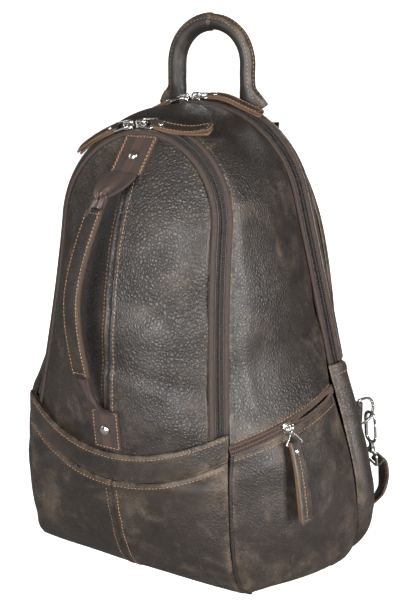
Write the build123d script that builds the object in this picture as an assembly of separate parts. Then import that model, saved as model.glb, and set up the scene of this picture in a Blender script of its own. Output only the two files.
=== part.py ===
"""Leather backpack, 330 mm wide, 400 mm tall without its handle. The bag itself is about
175 mm deep, and its straps hang behind it and at its sides.

Frame: +Z up, the front faces -Y, +X is to the right seen from the front.
The origin is on the ground, under the middle of the base. Units are millimetres.
Every leather panel is a thin solid lofted through rows of points on the bag's outer
surface. Two zips run over the bag as arches in leaning planes, so their sliders turn
about the arch's own axis. Only one side is drawn for most pieces, and mirrored.
"""
from build123d import *
from math import asin, atan2, cos, degrees, exp, radians, sin, sqrt, tan
import os

# ---- Driving dimensions -------------------------------------------------------------
LEATHER = 2.0            # thickness of a leather panel
SEAM_GAP = 0.4           # space left between two neighbouring panels
ZIP_HALF = 8.0           # half the visible width of a main zip
ROW_IN, ROW_OUT = 0.8, 3.1    # one row of coil, measured from the middle of the zip
ROW_LOW, ROW_HIGH = -0.1, 1.9
TAPE_LOW, TAPE_HIGH = -1.3, -0.2
POCKET_ZIP_HALF = 4.5    # half the opening that the side pocket's zip sits in
BACK_Y = 66.0            # where the rear bands end and the back panel starts
FRONT_RADIUS = 120.0     # the front panel's curve across the bag, near its top
FLATTER_LOW = 90.0       # how much larger that radius gets at the slip pocket's rim
CORNER_X, CORNER_Y = 102.0, -82.0   # the upright seam between front and side pockets
RIM_Z, TRIM_Z = 150.0, 127.0        # ends of the slip pocket's rim and of its trim band
RIM_DIP, TRIM_DIP = 29.0, 31.0      # how far they hang lower in the middle
X, Y, Z = Vector(1, 0, 0), Vector(0, 1, 0), Vector(0, 0, 1)
INSIDE = Vector(0, -10, 170)        # a point well inside the bag


# ---- Small helpers ------------------------------------------------------------------
def edge_through(points):
    """A line through two or three points in a row, otherwise a smooth curve."""
    first, last = points[0], points[-1]
    chord = last - first
    off = max((p - first).cross(chord).length / chord.length for p in points)
    if off < 0.02:
        return Edge.make_line(first, last)
    if len(points) == 3:
        return Edge.make_three_point_arc(*points)
    return Edge.make_spline(points)


def flatten(outer, inner):
    """Moves an end row's points into one plane, so that a flat cap can close it."""
    along = (outer[-1] - outer[0]).normalized()
    across = Vector(0, 0, 0)
    for p, q in zip(outer, inner):
        across += q - p
    across = (across - along * across.dot(along)).normalized()
    normal = along.cross(across).normalized()

    def drop(p):
        return p - normal * (p - outer[0]).dot(normal)

    return [drop(p) for p in outer], [drop(p) for p in inner]


def skin(rows, thick=LEATHER, inside=INSIDE):
    """A thin solid: rows of points on the outer face, thickened towards the inside."""
    count, width = len(rows), len(rows[0])
    wires = []
    for i, row in enumerate(rows):
        inner = []
        for j, p in enumerate(row):
            du = rows[min(i + 1, count - 1)][j] - rows[max(i - 1, 0)][j]
            dv = row[min(j + 1, width - 1)] - row[max(j - 1, 0)]
            n = du.cross(dv).normalized()
            if n.dot(inside - p) < 0:
                n = n * -1
            inner.append(p + n * thick)
        if i in (0, count - 1):
            row, inner = flatten(row, inner)
        wires.append(Wire([
            edge_through(row),
            Edge.make_line(row[-1], inner[-1]),
            edge_through(inner[::-1]),
            Edge.make_line(inner[0], row[0]),
        ]))
    return Solid.make_loft(wires)


def strip(frames, b0, b1, n0, n1):
    """A bar of rectangular section, b0 to b1 across and n0 to n1 along the normal."""
    wires = []
    for p, _, across, normal in frames:
        corners = [p + across * b + normal * n for b, n in ((b0, n0), (b1, n0), (b1, n1), (b0, n1))]
        wires.append(Wire([Edge.make_line(corners[k], corners[(k + 1) % 4]) for k in range(4)]))
    return Solid.make_loft(wires)


def mirrored(shape):
    return mirror(shape, about=Plane.YZ)


def placed(shape, origin, along, normal):
    """A shape drawn with X along and Z up, moved to a point on the bag."""
    return Plane(origin=origin, x_dir=along, z_dir=normal) * shape


def block(along, across, high, at=(0, 0, 0)):
    return Pos(*at) * Box(along, across, high)


def lerp(a, b, t):
    return a + (b - a) * t


def write(name, *shapes):
    solids = [s for shape in shapes for s in shape.solids()]
    export_step(Compound(children=solids) if len(solids) > 1 else solids[0], f"parts/{name}.step")


# ---- Zip rings ----------------------------------------------------------------------
class Ring:
    """A zip line: an arch over the top and two sides, in a plane that leans in Y."""

    def __init__(self, radius, centre_z, arch, flare, curve, y_at_150, y_per_z, z_end, tilt):
        self.radius, self.arch = radius, radians(arch)
        self.flare, self.curve = flare, curve
        long = sqrt(1 + y_per_z ** 2)
        self.up = Vector(0, y_per_z / long, 1 / long)
        self.front = Vector(0, -1 / long, y_per_z / long)
        self.origin = Vector(0, y_at_150 - 150 * y_per_z, 0)
        self.centre_h = centre_z * long
        self.tilt = radians(tilt)
        self.arch_length = radius * self.arch
        self.side_length = self.centre_h + radius * cos(self.arch) - z_end * long
        self.length = self.arch_length + self.side_length

    def centre(self):
        return self.origin + self.up * self.centre_h

    def at(self, u, shift=0.0):
        """Point, tangent, across and normal at u, -1 low left, 0 top, 1 low right."""
        side = -1 if u < 0 else 1
        run = abs(u) * self.length
        if run <= self.arch_length:
            a = run / self.radius
            x, h = self.radius * sin(a), self.centre_h + self.radius * cos(a)
            out = (sin(a), cos(a))
        else:
            d = run - self.arch_length
            x = self.radius * sin(self.arch) + self.flare * d + self.curve * d ** 1.5
            h = self.centre_h + self.radius * cos(self.arch) - d
            slope = self.flare + 1.5 * self.curve * d ** 0.5
            out = (1 / sqrt(1 + slope ** 2), slope / sqrt(1 + slope ** 2))
        radial = X * (out[0] * side) + self.up * out[1]
        tangent = X * out[1] - self.up * (out[0] * side)
        normal = self.front * cos(self.tilt) + radial * sin(self.tilt)
        across = radial * cos(self.tilt) - self.front * sin(self.tilt)
        point = self.origin + X * (x * side) + self.up * h
        return point + across * shift, tangent, across, normal

    def frames(self, low, high, count):
        return [self.at(lerp(low, high, k / (count - 1))) for k in range(count)]


FRONT_ZIP = Ring(79, 304.5, 90, 0.0, 0.0065, -78, 0.153, 150, 45)
MAIN_ZIP = Ring(98.7, 300.5, 75.3, tan(radians(90 - 75.3)), -0.0014, 50.8, -0.02, 162, 75)


# ---- Bag surface --------------------------------------------------------------------
def gusset_row(u, count=5):
    """Points across the gusset at u, from the front zip to the main zip."""
    a, _, _, normal_a = FRONT_ZIP.at(u, ZIP_HALF + 2 * SEAM_GAP)
    b, _, _, normal_b = MAIN_ZIP.at(u, -ZIP_HALF - 2 * SEAM_GAP)
    bulge = (normal_a + normal_b).normalized() * lerp(5, 11, min(1, abs(u) * 1.5))
    ts = [k / (count - 1) for k in range(count)]
    return [lerp(a, b, t) + bulge * (4 * t * (1 - t)) for t in ts]


FRONT_PROFILE = Spline(*[Vector(0, y, z) for y, z in (
    (-87, 39), (-99, 90), (-104, 150), (-101, 220), (-91, 284), (-72, 335), (-42, 386))])


def front_y(z):
    """Y of the front panel's middle line at height z."""
    low, high = 0.0, 1.0
    for _ in range(30):
        middle = (low + high) / 2
        low, high = (middle, high) if (FRONT_PROFILE @ middle).Z < z else (low, middle)
    return (FRONT_PROFILE @ low).Y


def front_row(z, half, lift=0.0, count=5):
    """Points across the front at height z, on a circle that is flatter lower down."""
    y = front_y(z) - lift
    radius = FRONT_RADIUS + FLATTER_LOW * exp(-abs(z - RIM_Z) / 34)
    xs = [lerp(-half, half, k / (count - 1)) for k in range(count)]
    return [Vector(x, y + radius - sqrt(radius ** 2 - x ** 2), z) for x in xs]


# The slip pocket's outer face: middle point, the way it faces, half width and how far
# its ends lie behind the middle.
POCKET_ROWS = (
    (-106.5, 151, 0, CORNER_X, 24.5),
    (-105, 112, 4, CORNER_X, 22),
    (-99, 74, 12, CORNER_X + 0.5, 17),
    (-90, 39, 22, CORNER_X + 1, 10.5),
    (-80, 16, 45, CORNER_X + 3, 5.5),
    (-68, 3.5, 70, CORNER_X + 5, 2.5),
    (-58, 0, 90, CORNER_X + 6, 0.3),
)


def pocket_row(y, z, face, half, back, count=5):
    """Points across the slip pocket. face is the angle that it faces down, in degrees."""
    normal = Vector(0, -cos(radians(face)), -sin(radians(face)))
    xs = [lerp(-half, half, k / (count - 1)) for k in range(count)]
    return [Vector(x, y, z) - normal * (back * (x / half) ** 2) for x in xs]


def pocket_zip_points():
    """Front end, middle and rear end of the right side pocket's zip line."""
    front, rear = Vector(101.5, -80, 134), Vector(137, 34, 161)
    chord = (rear - front).normalized()
    out = Vector(chord.Y, -chord.X, 0.12).normalized()
    return front, (front + rear) * 0.5 + out * 13, rear


def circle_of(a, m, b):
    """Centre, radius and axis of the circle through three points."""
    edge = Edge.make_three_point_arc(a, m, b)
    return edge.arc_center, edge.radius, (m - a).cross(b - m).normalized()


POCKET_ARC = Edge.make_three_point_arc(*pocket_zip_points())
POCKET_CENTRE, POCKET_RADIUS, POCKET_AXIS = circle_of(*pocket_zip_points())


def pocket_zip_at(t):
    """Point, tangent, across (downwards) and normal at t along the side zip."""
    p = POCKET_ARC @ t
    normal = (p - POCKET_CENTRE).normalized()
    tangent = POCKET_AXIS.cross(normal).normalized()
    across = tangent.cross(normal).normalized()
    if across.Z > 0:
        across = across * -1
    return p, tangent, across, normal


def pocket_frames(t0, t1, count):
    return [pocket_zip_at(lerp(t0, t1, k / (count - 1))) for k in range(count)]


# ---- Body panels --------------------------------------------------------------------
def ring_prism(ring, inset, z_cut, depth=90):
    """A prism on the ring's plane, inside the ring by inset, above z_cut."""
    count = 25
    points = []
    for k in range(count):
        p, _, _, _ = ring.at(lerp(-1, 1, k / (count - 1)))
        radial = ring.at(lerp(-1, 1, k / (count - 1)))[3]
        radial = (radial - ring.front * radial.dot(ring.front)).normalized()
        points.append(p - radial * inset)
    low_left = points[0] - Z * (points[0].Z - z_cut)
    low_right = points[-1] - Z * (points[-1].Z - z_cut)
    low_left = low_left - ring.front * (low_left - ring.origin).dot(ring.front)
    low_right = low_right - ring.front * (low_right - ring.origin).dot(ring.front)
    outline = Wire([
        Edge.make_spline(points),
        Edge.make_line(points[-1], low_right),
        Edge.make_line(low_right, low_left),
        Edge.make_line(low_left, points[0]),
    ])
    face = Face(outline)
    return extrude(face, amount=depth, dir=ring.front, both=True)


def front_panels():
    zs = (100, 130, 165, 200, 235, 268, 298, 325, 350, 371, 389)
    sheet = skin([front_row(z, 96) for z in zs])
    inset = ZIP_HALF * cos(FRONT_ZIP.tilt) - TAPE_LOW * sin(FRONT_ZIP.tilt) + SEAM_GAP
    panel = sheet & ring_prism(FRONT_ZIP, inset, 106)
    right = panel & Pos(100 + SEAM_GAP / 2, 0, 200) * Box(200, 400, 500)
    left = panel & Pos(-100 - SEAM_GAP / 2, 0, 200) * Box(200, 400, 500)
    return left, right


def rim_cutter(z_end, dip, above):
    """Everything above or below a rim that hangs in the middle, as a prism along Y."""
    far = CORNER_X + 30
    curve = Edge.make_three_point_arc(
        Vector(-far, 0, z_end + dip * (far / CORNER_X) ** 2 - dip),
        Vector(0, 0, z_end - dip), Vector(far, 0, z_end + dip * (far / CORNER_X) ** 2 - dip))
    top = 400 if above else -50
    a, b = curve @ 0, curve @ 1
    face = Face(Wire([
        curve,
        Edge.make_line(b, Vector(b.X, 0, top)),
        Edge.make_line(Vector(b.X, 0, top), Vector(a.X, 0, top)),
        Edge.make_line(Vector(a.X, 0, top), a),
    ]))
    return extrude(face, amount=200, dir=Y, both=True)


def pocket_parts():
    sheet = skin([pocket_row(*row) for row in POCKET_ROWS], inside=Vector(0, -10, 120))
    trim = sheet - rim_cutter(RIM_Z, RIM_DIP, True) & rim_cutter(TRIM_Z, TRIM_DIP, True)
    panel = sheet - rim_cutter(TRIM_Z - SEAM_GAP, TRIM_DIP, True)
    right = panel & Pos(100 + SEAM_GAP / 2, 0, 100) * Box(200, 400, 500)
    left = panel & Pos(-100 - SEAM_GAP / 2, 0, 100) * Box(200, 400, 500)
    return trim, left, right


def gusset():
    rows = [gusset_row(lerp(0.002, 0.9, k / 12)) for k in range(13)]
    last = []
    for t in (0.035, 0.25, 0.5, 0.75, 0.98):
        p, _, down, _ = pocket_zip_at(t)
        last.append(p - down * (POCKET_ZIP_HALF + 2 * SEAM_GAP))
    return skin(rows + [last])


def side_pocket():
    """The side pocket's panel, from below its zip to the edge of the base."""
    top = []
    for t in (0.01, 0.25, 0.5, 0.75, 0.985):
        p, _, down, _ = pocket_zip_at(t)
        top.append(p + down * (POCKET_ZIP_HALF + 3 * SEAM_GAP))
    levels = (
        # height, front end (x, y), rear end (x, y), bulge
        (100, (103.5, -79), (155, 33.5), 15),
        (60, (104.5, -78), (163, 33), 16),
        (28, (105.5, -74), (164, 32.5), 14),
        (10, (107.5, -68), (158, 30), 11),
    )
    rows = [top]
    for z, front, rear, bulge in levels:
        a, b = Vector(*front, z), Vector(*rear, z + 2)
        out = Vector(b.Y - a.Y, a.X - b.X, 0).normalized()
        rows.append([lerp(a, b, t) + out * (bulge * 4 * t * (1 - t)) for t in (0, 0.25, 0.5, 0.75, 1)])
    a, b = Vector(110, -56, 0.2), Vector(146, 24, 0.2)
    rows.append([lerp(a, b, t) for t in (0, 0.25, 0.5, 0.75, 1)])
    return skin(rows, inside=Vector(60, -10, 70))


def rear_outline():
    """Right half of the lower rear band's outline, from the cap down to the base."""
    return Spline(Vector(134.5, 0, 180), Vector(152, 0, 127), Vector(165, 0, 75), Vector(164, 0, 32),
                  Vector(140, 0, 4), Vector(105, 0, 0.2), tangents=[Vector(0.45, 0, -1), Vector(-1, 0, 0)])


def rear_band_lower():
    """The puffed band behind the side pockets, right under the bag and up both sides."""
    half = rear_outline()
    rows = []
    for k in range(11):
        p = half @ (k / 10)
        tangent = half % (k / 10)
        out = Vector(-tangent.Z, 0, tangent.X)
        full = 1 - k / 10
        stations = ((36.5, -2.0), (44, 2.0 * full), (52, 3.0 * full), (60, 1.5 * full), (BACK_Y, -3.0 * full))
        rows.append([Vector(p.X, y, p.Z) + out * rise for y, rise in stations])
    for row in rows[-2:]:
        for j, p in enumerate(row):
            row[j] = Vector(p.X, p.Y, max(p.Z, 0.2))
    right = skin(rows, inside=Vector(60, 50, 120))
    flat = Pos(0, (36.5 + BACK_Y) / 2, 1.2) * Box(208, BACK_Y - 36.5, LEATHER)
    return right, mirrored(right), flat


def rear_band_upper():
    rows = []
    for k in range(21):
        u = lerp(-0.93, 0.93, k / 20)
        a, _, _, normal = MAIN_ZIP.at(u, ZIP_HALF + 3 * SEAM_GAP)
        back = Vector(a.X, BACK_Y, a.Z) + Vector(normal.X, 0, normal.Z) * -3.0
        rows.append([a, lerp(a, back, 0.5) + normal * 1.2, back])
    return skin(rows)


def back_outline(inset):
    """The back panel's closed outline in the XZ plane, inset from the rear bands."""
    points = [MAIN_ZIP.at(u)[0] for u in (lerp(0.93, 0, k / 8) for k in range(9))]
    low = rear_outline()
    lower = [low @ t for t in (0.95, 0.75, 0.6, 0.45, 0.3, 0.15)]
    centre = Vector(0, 0, 200)
    half = []
    for p in lower + points:
        p = Vector(p.X, 0, p.Z)
        half.append(p + (centre - p).normalized() * inset)
    other = [Vector(-p.X, 0, p.Z) for p in half[-2::-1]]
    loop = half + other
    return Face(Wire([Edge.make_spline(loop), Edge.make_line(loop[-1], loop[0])]))


def back_plate(y0, y1, inset):
    return extrude(Pos(0, y0, 0) * back_outline(inset), amount=y1 - y0, dir=Y)


def base_outline(inset):
    xs, front = 108 - inset, -55.5 + inset
    return Face(Wire([
        Edge.make_line(Vector(-xs, front, 0), Vector(xs, front, 0)),
        Edge.make_line(Vector(xs, front, 0), Vector(143.5 - inset, 24, 0)),
        Edge.make_line(Vector(143.5 - inset, 24, 0), Vector(143.5 - inset, 36 - inset, 0)),
        Edge.make_line(Vector(143.5 - inset, 36 - inset, 0), Vector(inset - 143.5, 36 - inset, 0)),
        Edge.make_line(Vector(inset - 143.5, 36 - inset, 0), Vector(inset - 143.5, 24, 0)),
        Edge.make_line(Vector(inset - 143.5, 24, 0), Vector(-xs, front, 0)),
    ]))


def lining_outline(y, half_low, half_high, top_radius, top_z, low_z):
    """A closed outline at depth y: flat below, sides that lean in, and an arch on top."""
    face = Face(Wire([
        Edge.make_line(Vector(-half_low, y, low_z), Vector(half_low, y, low_z)),
        Edge.make_line(Vector(half_low, y, low_z), Vector(half_high, y, top_z)),
        Edge.make_three_point_arc(Vector(half_high, y, top_z), Vector(0, y, top_z + top_radius),
                                  Vector(-half_high, y, top_z)),
        Edge.make_line(Vector(-half_high, y, top_z), Vector(-half_low, y, low_z)),
    ]))
    return face


def main_lining():
    """The main compartment's fabric sleeve, open at the divider, with a back wall."""
    def body(inset, y_front, y_back):
        front = lining_outline(y_front, 92 - inset, 74 - inset, 74 - inset, 300, 9 + inset)
        back = lining_outline(y_back, 122 - inset, 90 - inset, 86 - inset, 296, 9 + inset)
        return loft([front, back])
    return body(0, -33, 55.5) - body(1.2, -34, 54.3)


def divider_panel():
    return extrude(lining_outline(-37, 90, 72, 72, 300, 9), amount=3, dir=Y)


# ---- Zips ---------------------------------------------------------------------------
def zip_tapes(frames, half):
    """A tape on each side of the zip's middle."""
    return [strip(frames, side * 1.0, side * half, TAPE_LOW, TAPE_HIGH) for side in (-1, 1)]


def zip_rows(frames):
    """A row of coil on each side of the zip's middle."""
    return [strip(frames, side * ROW_IN, side * ROW_OUT, ROW_LOW, ROW_HIGH) for side in (-1, 1)]


SLIDER_LONG, SLIDER_WIDE = 11.0, 8.0
BAIL_HEIGHT = 4.6        # the bail's wire in the slider's bridge, above the zip's surface
BAR_HEIGHT = 6.6         # middle of the bridge's bar
BAIL_LONG, BAIL_WIDE, WIRE = 13.0, 12.0, 0.7
PULL_LONG, PULL_WIDE, PULL_THICK = 54.0, 9.6, 3.6
POCKET_PULL_LONG, POCKET_PULL_WIDE = 68.0, 12.0
# Where each pair of top sliders rests on its arch, in degrees right of the top.
TOP_SLIDERS = {"front_zip": (FRONT_ZIP, -11.4, -2.7), "main_zip": (MAIN_ZIP, -10.7, -3.7)}
BAIL_DROP, PULL_DROP = 5.0, 6.0     # how far the lying bail and its pull dip, in degrees
POCKET_SLIDERS = {"right": 0.43, "left": 0.78}      # where each rests along its zip
POCKET_LEAN = 14.0                  # how far the hanging pull leans out with the leather


def slider():
    """Drawn with X along the zip, Y across it and Z out of the bag."""
    plate = SlotOverall(SLIDER_LONG, SLIDER_WIDE)
    top = Pos(0, 0, 2.1) * extrude(plate, amount=1.2)
    low = Pos(0, 0, -2.8) * extrude(plate, amount=1.0)
    blade = block(3.0, 0.9, 5.2, (0, 0, 0.2))
    posts = block(1.4, 2.4, 3.6, (-4.0, 0, 4.8)) + block(1.4, 2.4, 3.6, (4.0, 0, 4.8))
    bar = block(9.4, 2.4, 1.2, (0, 0, BAR_HEIGHT))
    return top + low + blade + posts + bar


def rod(a, b, radius):
    return Plane(origin=(a + b) * 0.5, z_dir=b - a) * Cylinder(radius, (b - a).length)


def wire_loop(points, radius):
    """A closed round wire through corner points, each joint rounded by a ball."""
    shape = None
    for a, b in zip(points, points[1:] + points[:1]):
        piece = rod(a, b, radius) + Pos(*a) * Sphere(radius)
        shape = piece if shape is None else shape + piece
    return shape


def bail():
    """A rectangular wire loop. Its first bar turns in the bridge, at the origin, and it
    reaches along +X to the bar that the leather is folded over."""
    w = BAIL_WIDE / 2
    corners = [Vector(0, -w, 0), Vector(BAIL_LONG, -w, 0), Vector(BAIL_LONG, w, 0), Vector(0, w, 0)]
    return wire_loop(corners, WIRE)


def hanging_bail():
    """The side pocket's bail: a ring round the bridge's bar, then a triangle along +X."""
    w = POCKET_PULL_WIDE / 2 + 3.0
    ring = Rot(90, 0, 0) * Torus(2.2, WIRE)
    return ring + wire_loop([Vector(2.4, 0, 0), Vector(BAIL_LONG, -w, 0), Vector(BAIL_LONG, w, 0)], WIRE)


def pull(long=PULL_LONG, wide=PULL_WIDE):
    """A folded leather strip, drawn from the middle of the bail's far bar along +X."""
    body = block(long, wide, PULL_THICK, (long / 2 - 2.2, 0, 0))
    eye = Rot(90, 0, 0) * Cylinder(WIRE + 0.3, wide + 2)
    return body - eye


def turned(vector, axis, angle):
    """A direction turned about an axis, in degrees."""
    return vector.rotate(Axis((0, 0, 0), axis), angle)


def write_zip_set(name, place, hinge_height, bail_shape, pull_shape, drop, pull_drop, pull_along):
    """Writes one slider with its bail and pull. The bail points along pull_along."""
    point, along, normal = place
    write(f"{name}_slider", placed(slider(), point, along, normal))
    hinge = point + normal * hinge_height
    axis = normal.cross(pull_along)
    ahead, up = turned(pull_along, axis, drop), turned(normal, axis, drop)
    write(f"{name}_bail", placed(bail_shape, hinge, ahead, up))
    far = hinge + ahead * BAIL_LONG
    ahead, up = turned(ahead, axis, pull_drop), turned(up, axis, pull_drop)
    write(f"{name}_pull", placed(pull_shape, far, ahead, up))


def hanging(normal):
    """Straight down, along a surface that faces along normal."""
    return (normal * normal.Z - Z).normalized()


def write_zip_sets():
    for name, (ring, left, right) in TOP_SLIDERS.items():
        for side, angle, way in (("left", left, -1), ("right", right, 1)):
            u = radians(angle) * ring.radius / ring.length
            point, tangent, _, normal = ring.at(u)
            write_zip_set(f"{name}_{side}", (point, tangent, normal), BAIL_HEIGHT, bail(), pull(),
                          BAIL_DROP, PULL_DROP, tangent * way)
    for side, flip in (("right", 1), ("left", -1)):
        frame = [Vector(v.X * flip, v.Y, v.Z) for v in pocket_zip_at(POCKET_SLIDERS[side])]
        point, tangent, _, normal = frame
        write_zip_set(f"pocket_zip_{side}", (point, tangent, normal), BAR_HEIGHT, hanging_bail(),
                      pull(POCKET_PULL_LONG, POCKET_PULL_WIDE), -POCKET_LEAN, 0, hanging(normal))


# ---- Top handle ---------------------------------------------------------------------
HANDLE_Y, HANDLE_LOW = 59.5, 403.0      # the bottom of its upright legs
HANDLE_HALF, LEG_HIGH = 36.0, 27.0      # half the distance between the legs, and their height
HANDLE_R, CORE_R = 7.5, 4.0
HANDLE_TOP = HANDLE_LOW + LEG_HIGH + HANDLE_HALF + HANDLE_R


def handle_rod(radius):
    """A round bar along the handle's loop: two legs and half a ring."""
    leg = Pos(HANDLE_HALF, HANDLE_Y, HANDLE_LOW + LEG_HIGH / 2) * Cylinder(radius, LEG_HIGH)
    bow = Rot(90, 0, 0) * Torus(HANDLE_HALF, radius) & Pos(0, 0, 50) * Box(200, 100, 100)
    return leg + mirrored(leg) + Pos(0, HANDLE_Y, HANDLE_LOW + LEG_HIGH) * bow


def handle_tabs():
    """Flat leather ends of the handle, sewn to the upper rear band."""
    tabs = []
    for side in (-1, 1):
        lean = degrees(asin((HANDLE_HALF + 2) / (MAIN_ZIP.radius + 4)))
        arm = Rot(0, side * lean, 0) * Pos(0, 0, MAIN_ZIP.radius + 4.6)
        tabs.append(Pos(0, 61.5, MAIN_ZIP.centre().Z) * arm * Box(24, 11, 2))
    return tabs


# ---- Front grip ---------------------------------------------------------------------
GRIP_HALF = 9.5
GRIP_TOP, GRIP_LOW = Vector(-2, -84, 343), Vector(-3, -116, 167)     # ends of its swing axis
GRIP_PATH = Spline(GRIP_TOP, Vector(-8, -105, 320), Vector(-14, -128, 256), Vector(-8, -127, 194), GRIP_LOW)


def grip_frames(t0, t1, count):
    frames = []
    for k in range(count):
        t = lerp(t0, t1, k / (count - 1))
        tangent = GRIP_PATH % t
        across = (X - tangent * X.dot(tangent)).normalized()
        frames.append((GRIP_PATH @ t, tangent, across, across.cross(tangent)))
    return frames


def grip_anchor(z0, z1, half=17.0):
    """A flat webbing patch sewn over the front panel's middle seam."""
    heights = [lerp(z0, z1, k / 3) for k in range(4)]
    rows = [front_row(z, half, lift=2.4, count=3) for z in heights]
    return skin(rows, thick=1.8)


def rivet(z):
    """A domed metal head on a webbing patch."""
    slope = degrees(atan2(front_y(z + 5) - front_y(z - 5), 10))
    head = Cylinder(4.6, 2.2)
    head = fillet(head.edges().group_by(Axis.Z)[-1], 1.6)
    facing = Rot(90 - slope, 0, 0)
    return Pos(0, front_y(z) - 3.8 - 0.2 / cos(radians(slope)), z) * facing * head


# ---- Shoulder straps and their hardware ---------------------------------------------
RING_BAR = Vector(145, 74.5, 128)                       # middle of the D-ring's straight bar
RING_OUT = Vector(cos(radians(72)), sin(radians(72)), 0)    # the way the D-ring points
RING_DEPTH, RING_RISE, RING_WIRE = 8.0, 11.6, 1.4
HOOK_DOWN = Vector(0.05, 0.08, -1).normalized()         # the way the snap hook hangs
HOOK_HALF, HOOK_WIRE, HOOK_TURN = 6.1, 1.3, -18
HOOK_ARC, HOOK_NOSE, HOOK_FOOT, NECK_END = 1.3, 3.0, 18.0, 30.0
EYE_BAR = 44.0                                          # from the ring's wire to the eye's bar
BAR_SIDE = Vector(-0.73, 0.68, 0)                       # the way the eye's bar runs
STRAP_TOP = Vector(42, 74, 372)                         # where the strap meets the yoke


def half_ring(radius, wire):
    """Half a ring about Z, bulging along +X."""
    return Torus(radius, wire) & Pos(50, 0, 0) * Box(100, 100, 20)


def d_ring():
    """Drawn with X outwards, Y up and its straight bar on the origin."""
    shape = rod(Vector(0, -RING_RISE, 0), Vector(0, RING_RISE, 0), RING_WIRE)
    shape += Pos(RING_DEPTH, 0, 0) * half_ring(RING_RISE, RING_WIRE)
    for y in (-RING_RISE, RING_RISE):
        shape += rod(Vector(0, y, 0), Vector(RING_DEPTH, y, 0), RING_WIRE)
        shape += Pos(0, y, 0) * Sphere(RING_WIRE)
    return placed(shape, RING_BAR, RING_OUT, RING_OUT.cross(Z))


def ring_tab():
    """Leather sewn to the back panel, with a tube at its edge for the ring's bar."""
    height = 2 * (RING_RISE - RING_WIRE) - 1
    plate = block(28, 2.6, height, (RING_BAR.X - 15, 71.2, RING_BAR.Z))
    tube = Pos(*RING_BAR) * Cylinder(3.2, height)
    return plate + tube - Pos(*RING_BAR) * Cylinder(RING_WIRE + 0.1, 40)


def ring_touch():
    """The point of the D-ring's wire that the hook hangs from."""
    angle = radians(-45)
    along = RING_DEPTH + RING_RISE * cos(angle)
    return RING_BAR + RING_OUT * along + Z * (RING_RISE * sin(angle))


def hook_plane(turn):
    """X down the hook from the ring's wire, Y across its loop turned about that line."""
    side = BAR_SIDE - HOOK_DOWN * BAR_SIDE.dot(HOOK_DOWN)
    side = turned(side.normalized(), HOOK_DOWN, turn)
    return Plane(origin=ring_touch(), x_dir=HOOK_DOWN, z_dir=HOOK_DOWN.cross(side))


def snap_hook():
    arc = Pos(HOOK_ARC, 0, 0) * Rot(0, 0, 180) * half_ring(HOOK_HALF, HOOK_WIRE)
    foot = Pos(HOOK_FOOT, 0, 0) * half_ring(HOOK_HALF, HOOK_WIRE)
    back = rod(Vector(HOOK_ARC, HOOK_HALF, 0), Vector(HOOK_FOOT, HOOK_HALF, 0), HOOK_WIRE)
    nose = rod(Vector(HOOK_ARC, -HOOK_HALF, 0), Vector(HOOK_ARC + HOOK_NOSE, -HOOK_HALF, 0), HOOK_WIRE)
    neck = rod(Vector(HOOK_FOOT + HOOK_HALF, 0, 0), Vector(NECK_END, 0, 0), 2.6)
    return hook_plane(HOOK_TURN) * (arc + foot + back + nose + neck)


def hook_gate():
    """The sprung wire that shuts the hook, hinged at its foot."""
    low = Vector(HOOK_FOOT - 0.5, -HOOK_HALF, 0)
    high = Vector(HOOK_ARC + HOOK_NOSE + 0.5, -HOOK_HALF, 0)
    return hook_plane(HOOK_TURN) * rod(low, high, HOOK_WIRE)


def strap_metal():
    """The eye under the hook's swivel, and the buckle between the pad and the tail."""
    half, wire = 10.5, 1.3
    eye = wire_loop([Vector(NECK_END + 4, -half, 0), Vector(EYE_BAR, -half, 0),
                     Vector(EYE_BAR, half, 0), Vector(NECK_END + 4, half, 0)], wire)
    eye += rod(Vector(NECK_END + 0.4, 0, 0), Vector(NECK_END + 4, 0, 0), 3.0)
    buckle = Box(34, 3, 16) - Pos(0, 0, 3.6) * Box(27, 5, 4.6) - Pos(0, 0, -3.6) * Box(27, 5, 4.6)
    return hook_plane(0) * eye, Pos(98, 86, 133) * Rot(0, -14, 0) * buckle


def smooth_between(values, steps):
    """Points on a smooth curve through the given ones, with steps pieces between two."""
    ends = [values[0] * 2 - values[1]] + list(values) + [values[-1] * 2 - values[-2]]
    found = []
    for k in range(len(values) - 1):
        a, b, c, d = ends[k:k + 4]
        for i in range(steps):
            t = i / steps
            bend = (a * 2 - b * 5 + c * 4 - d) * t ** 2 + (b * 3 - a - c * 3 + d) * t ** 3
            found.append(b + ((c - a) * t + bend) * 0.5)
    return found + [values[-1]]


def ribbon(stations, thick, steps=4):
    """A flat band. Each station has a point, the way its width runs and half its width."""
    points = smooth_between([s[0] for s in stations], steps)
    sides = smooth_between([s[1] for s in stations], steps)
    halves = smooth_between([s[2] for s in stations], steps)
    wires, last = [], len(points) - 1
    for k, (p, side, half) in enumerate(zip(points, sides, halves)):
        tangent = (points[min(k + 1, last)] - points[max(k - 1, 0)]).normalized()
        side = (side - tangent * side.dot(tangent)).normalized() * half
        rise = tangent.cross(side).normalized() * (thick / 2)
        corners = [p - side - rise, p + side - rise, p + side + rise, p - side + rise]
        wires.append(Wire([Edge.make_line(corners[i], corners[(i + 1) % 4]) for i in range(4)]))
    return Solid.make_loft(wires, True)


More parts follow.
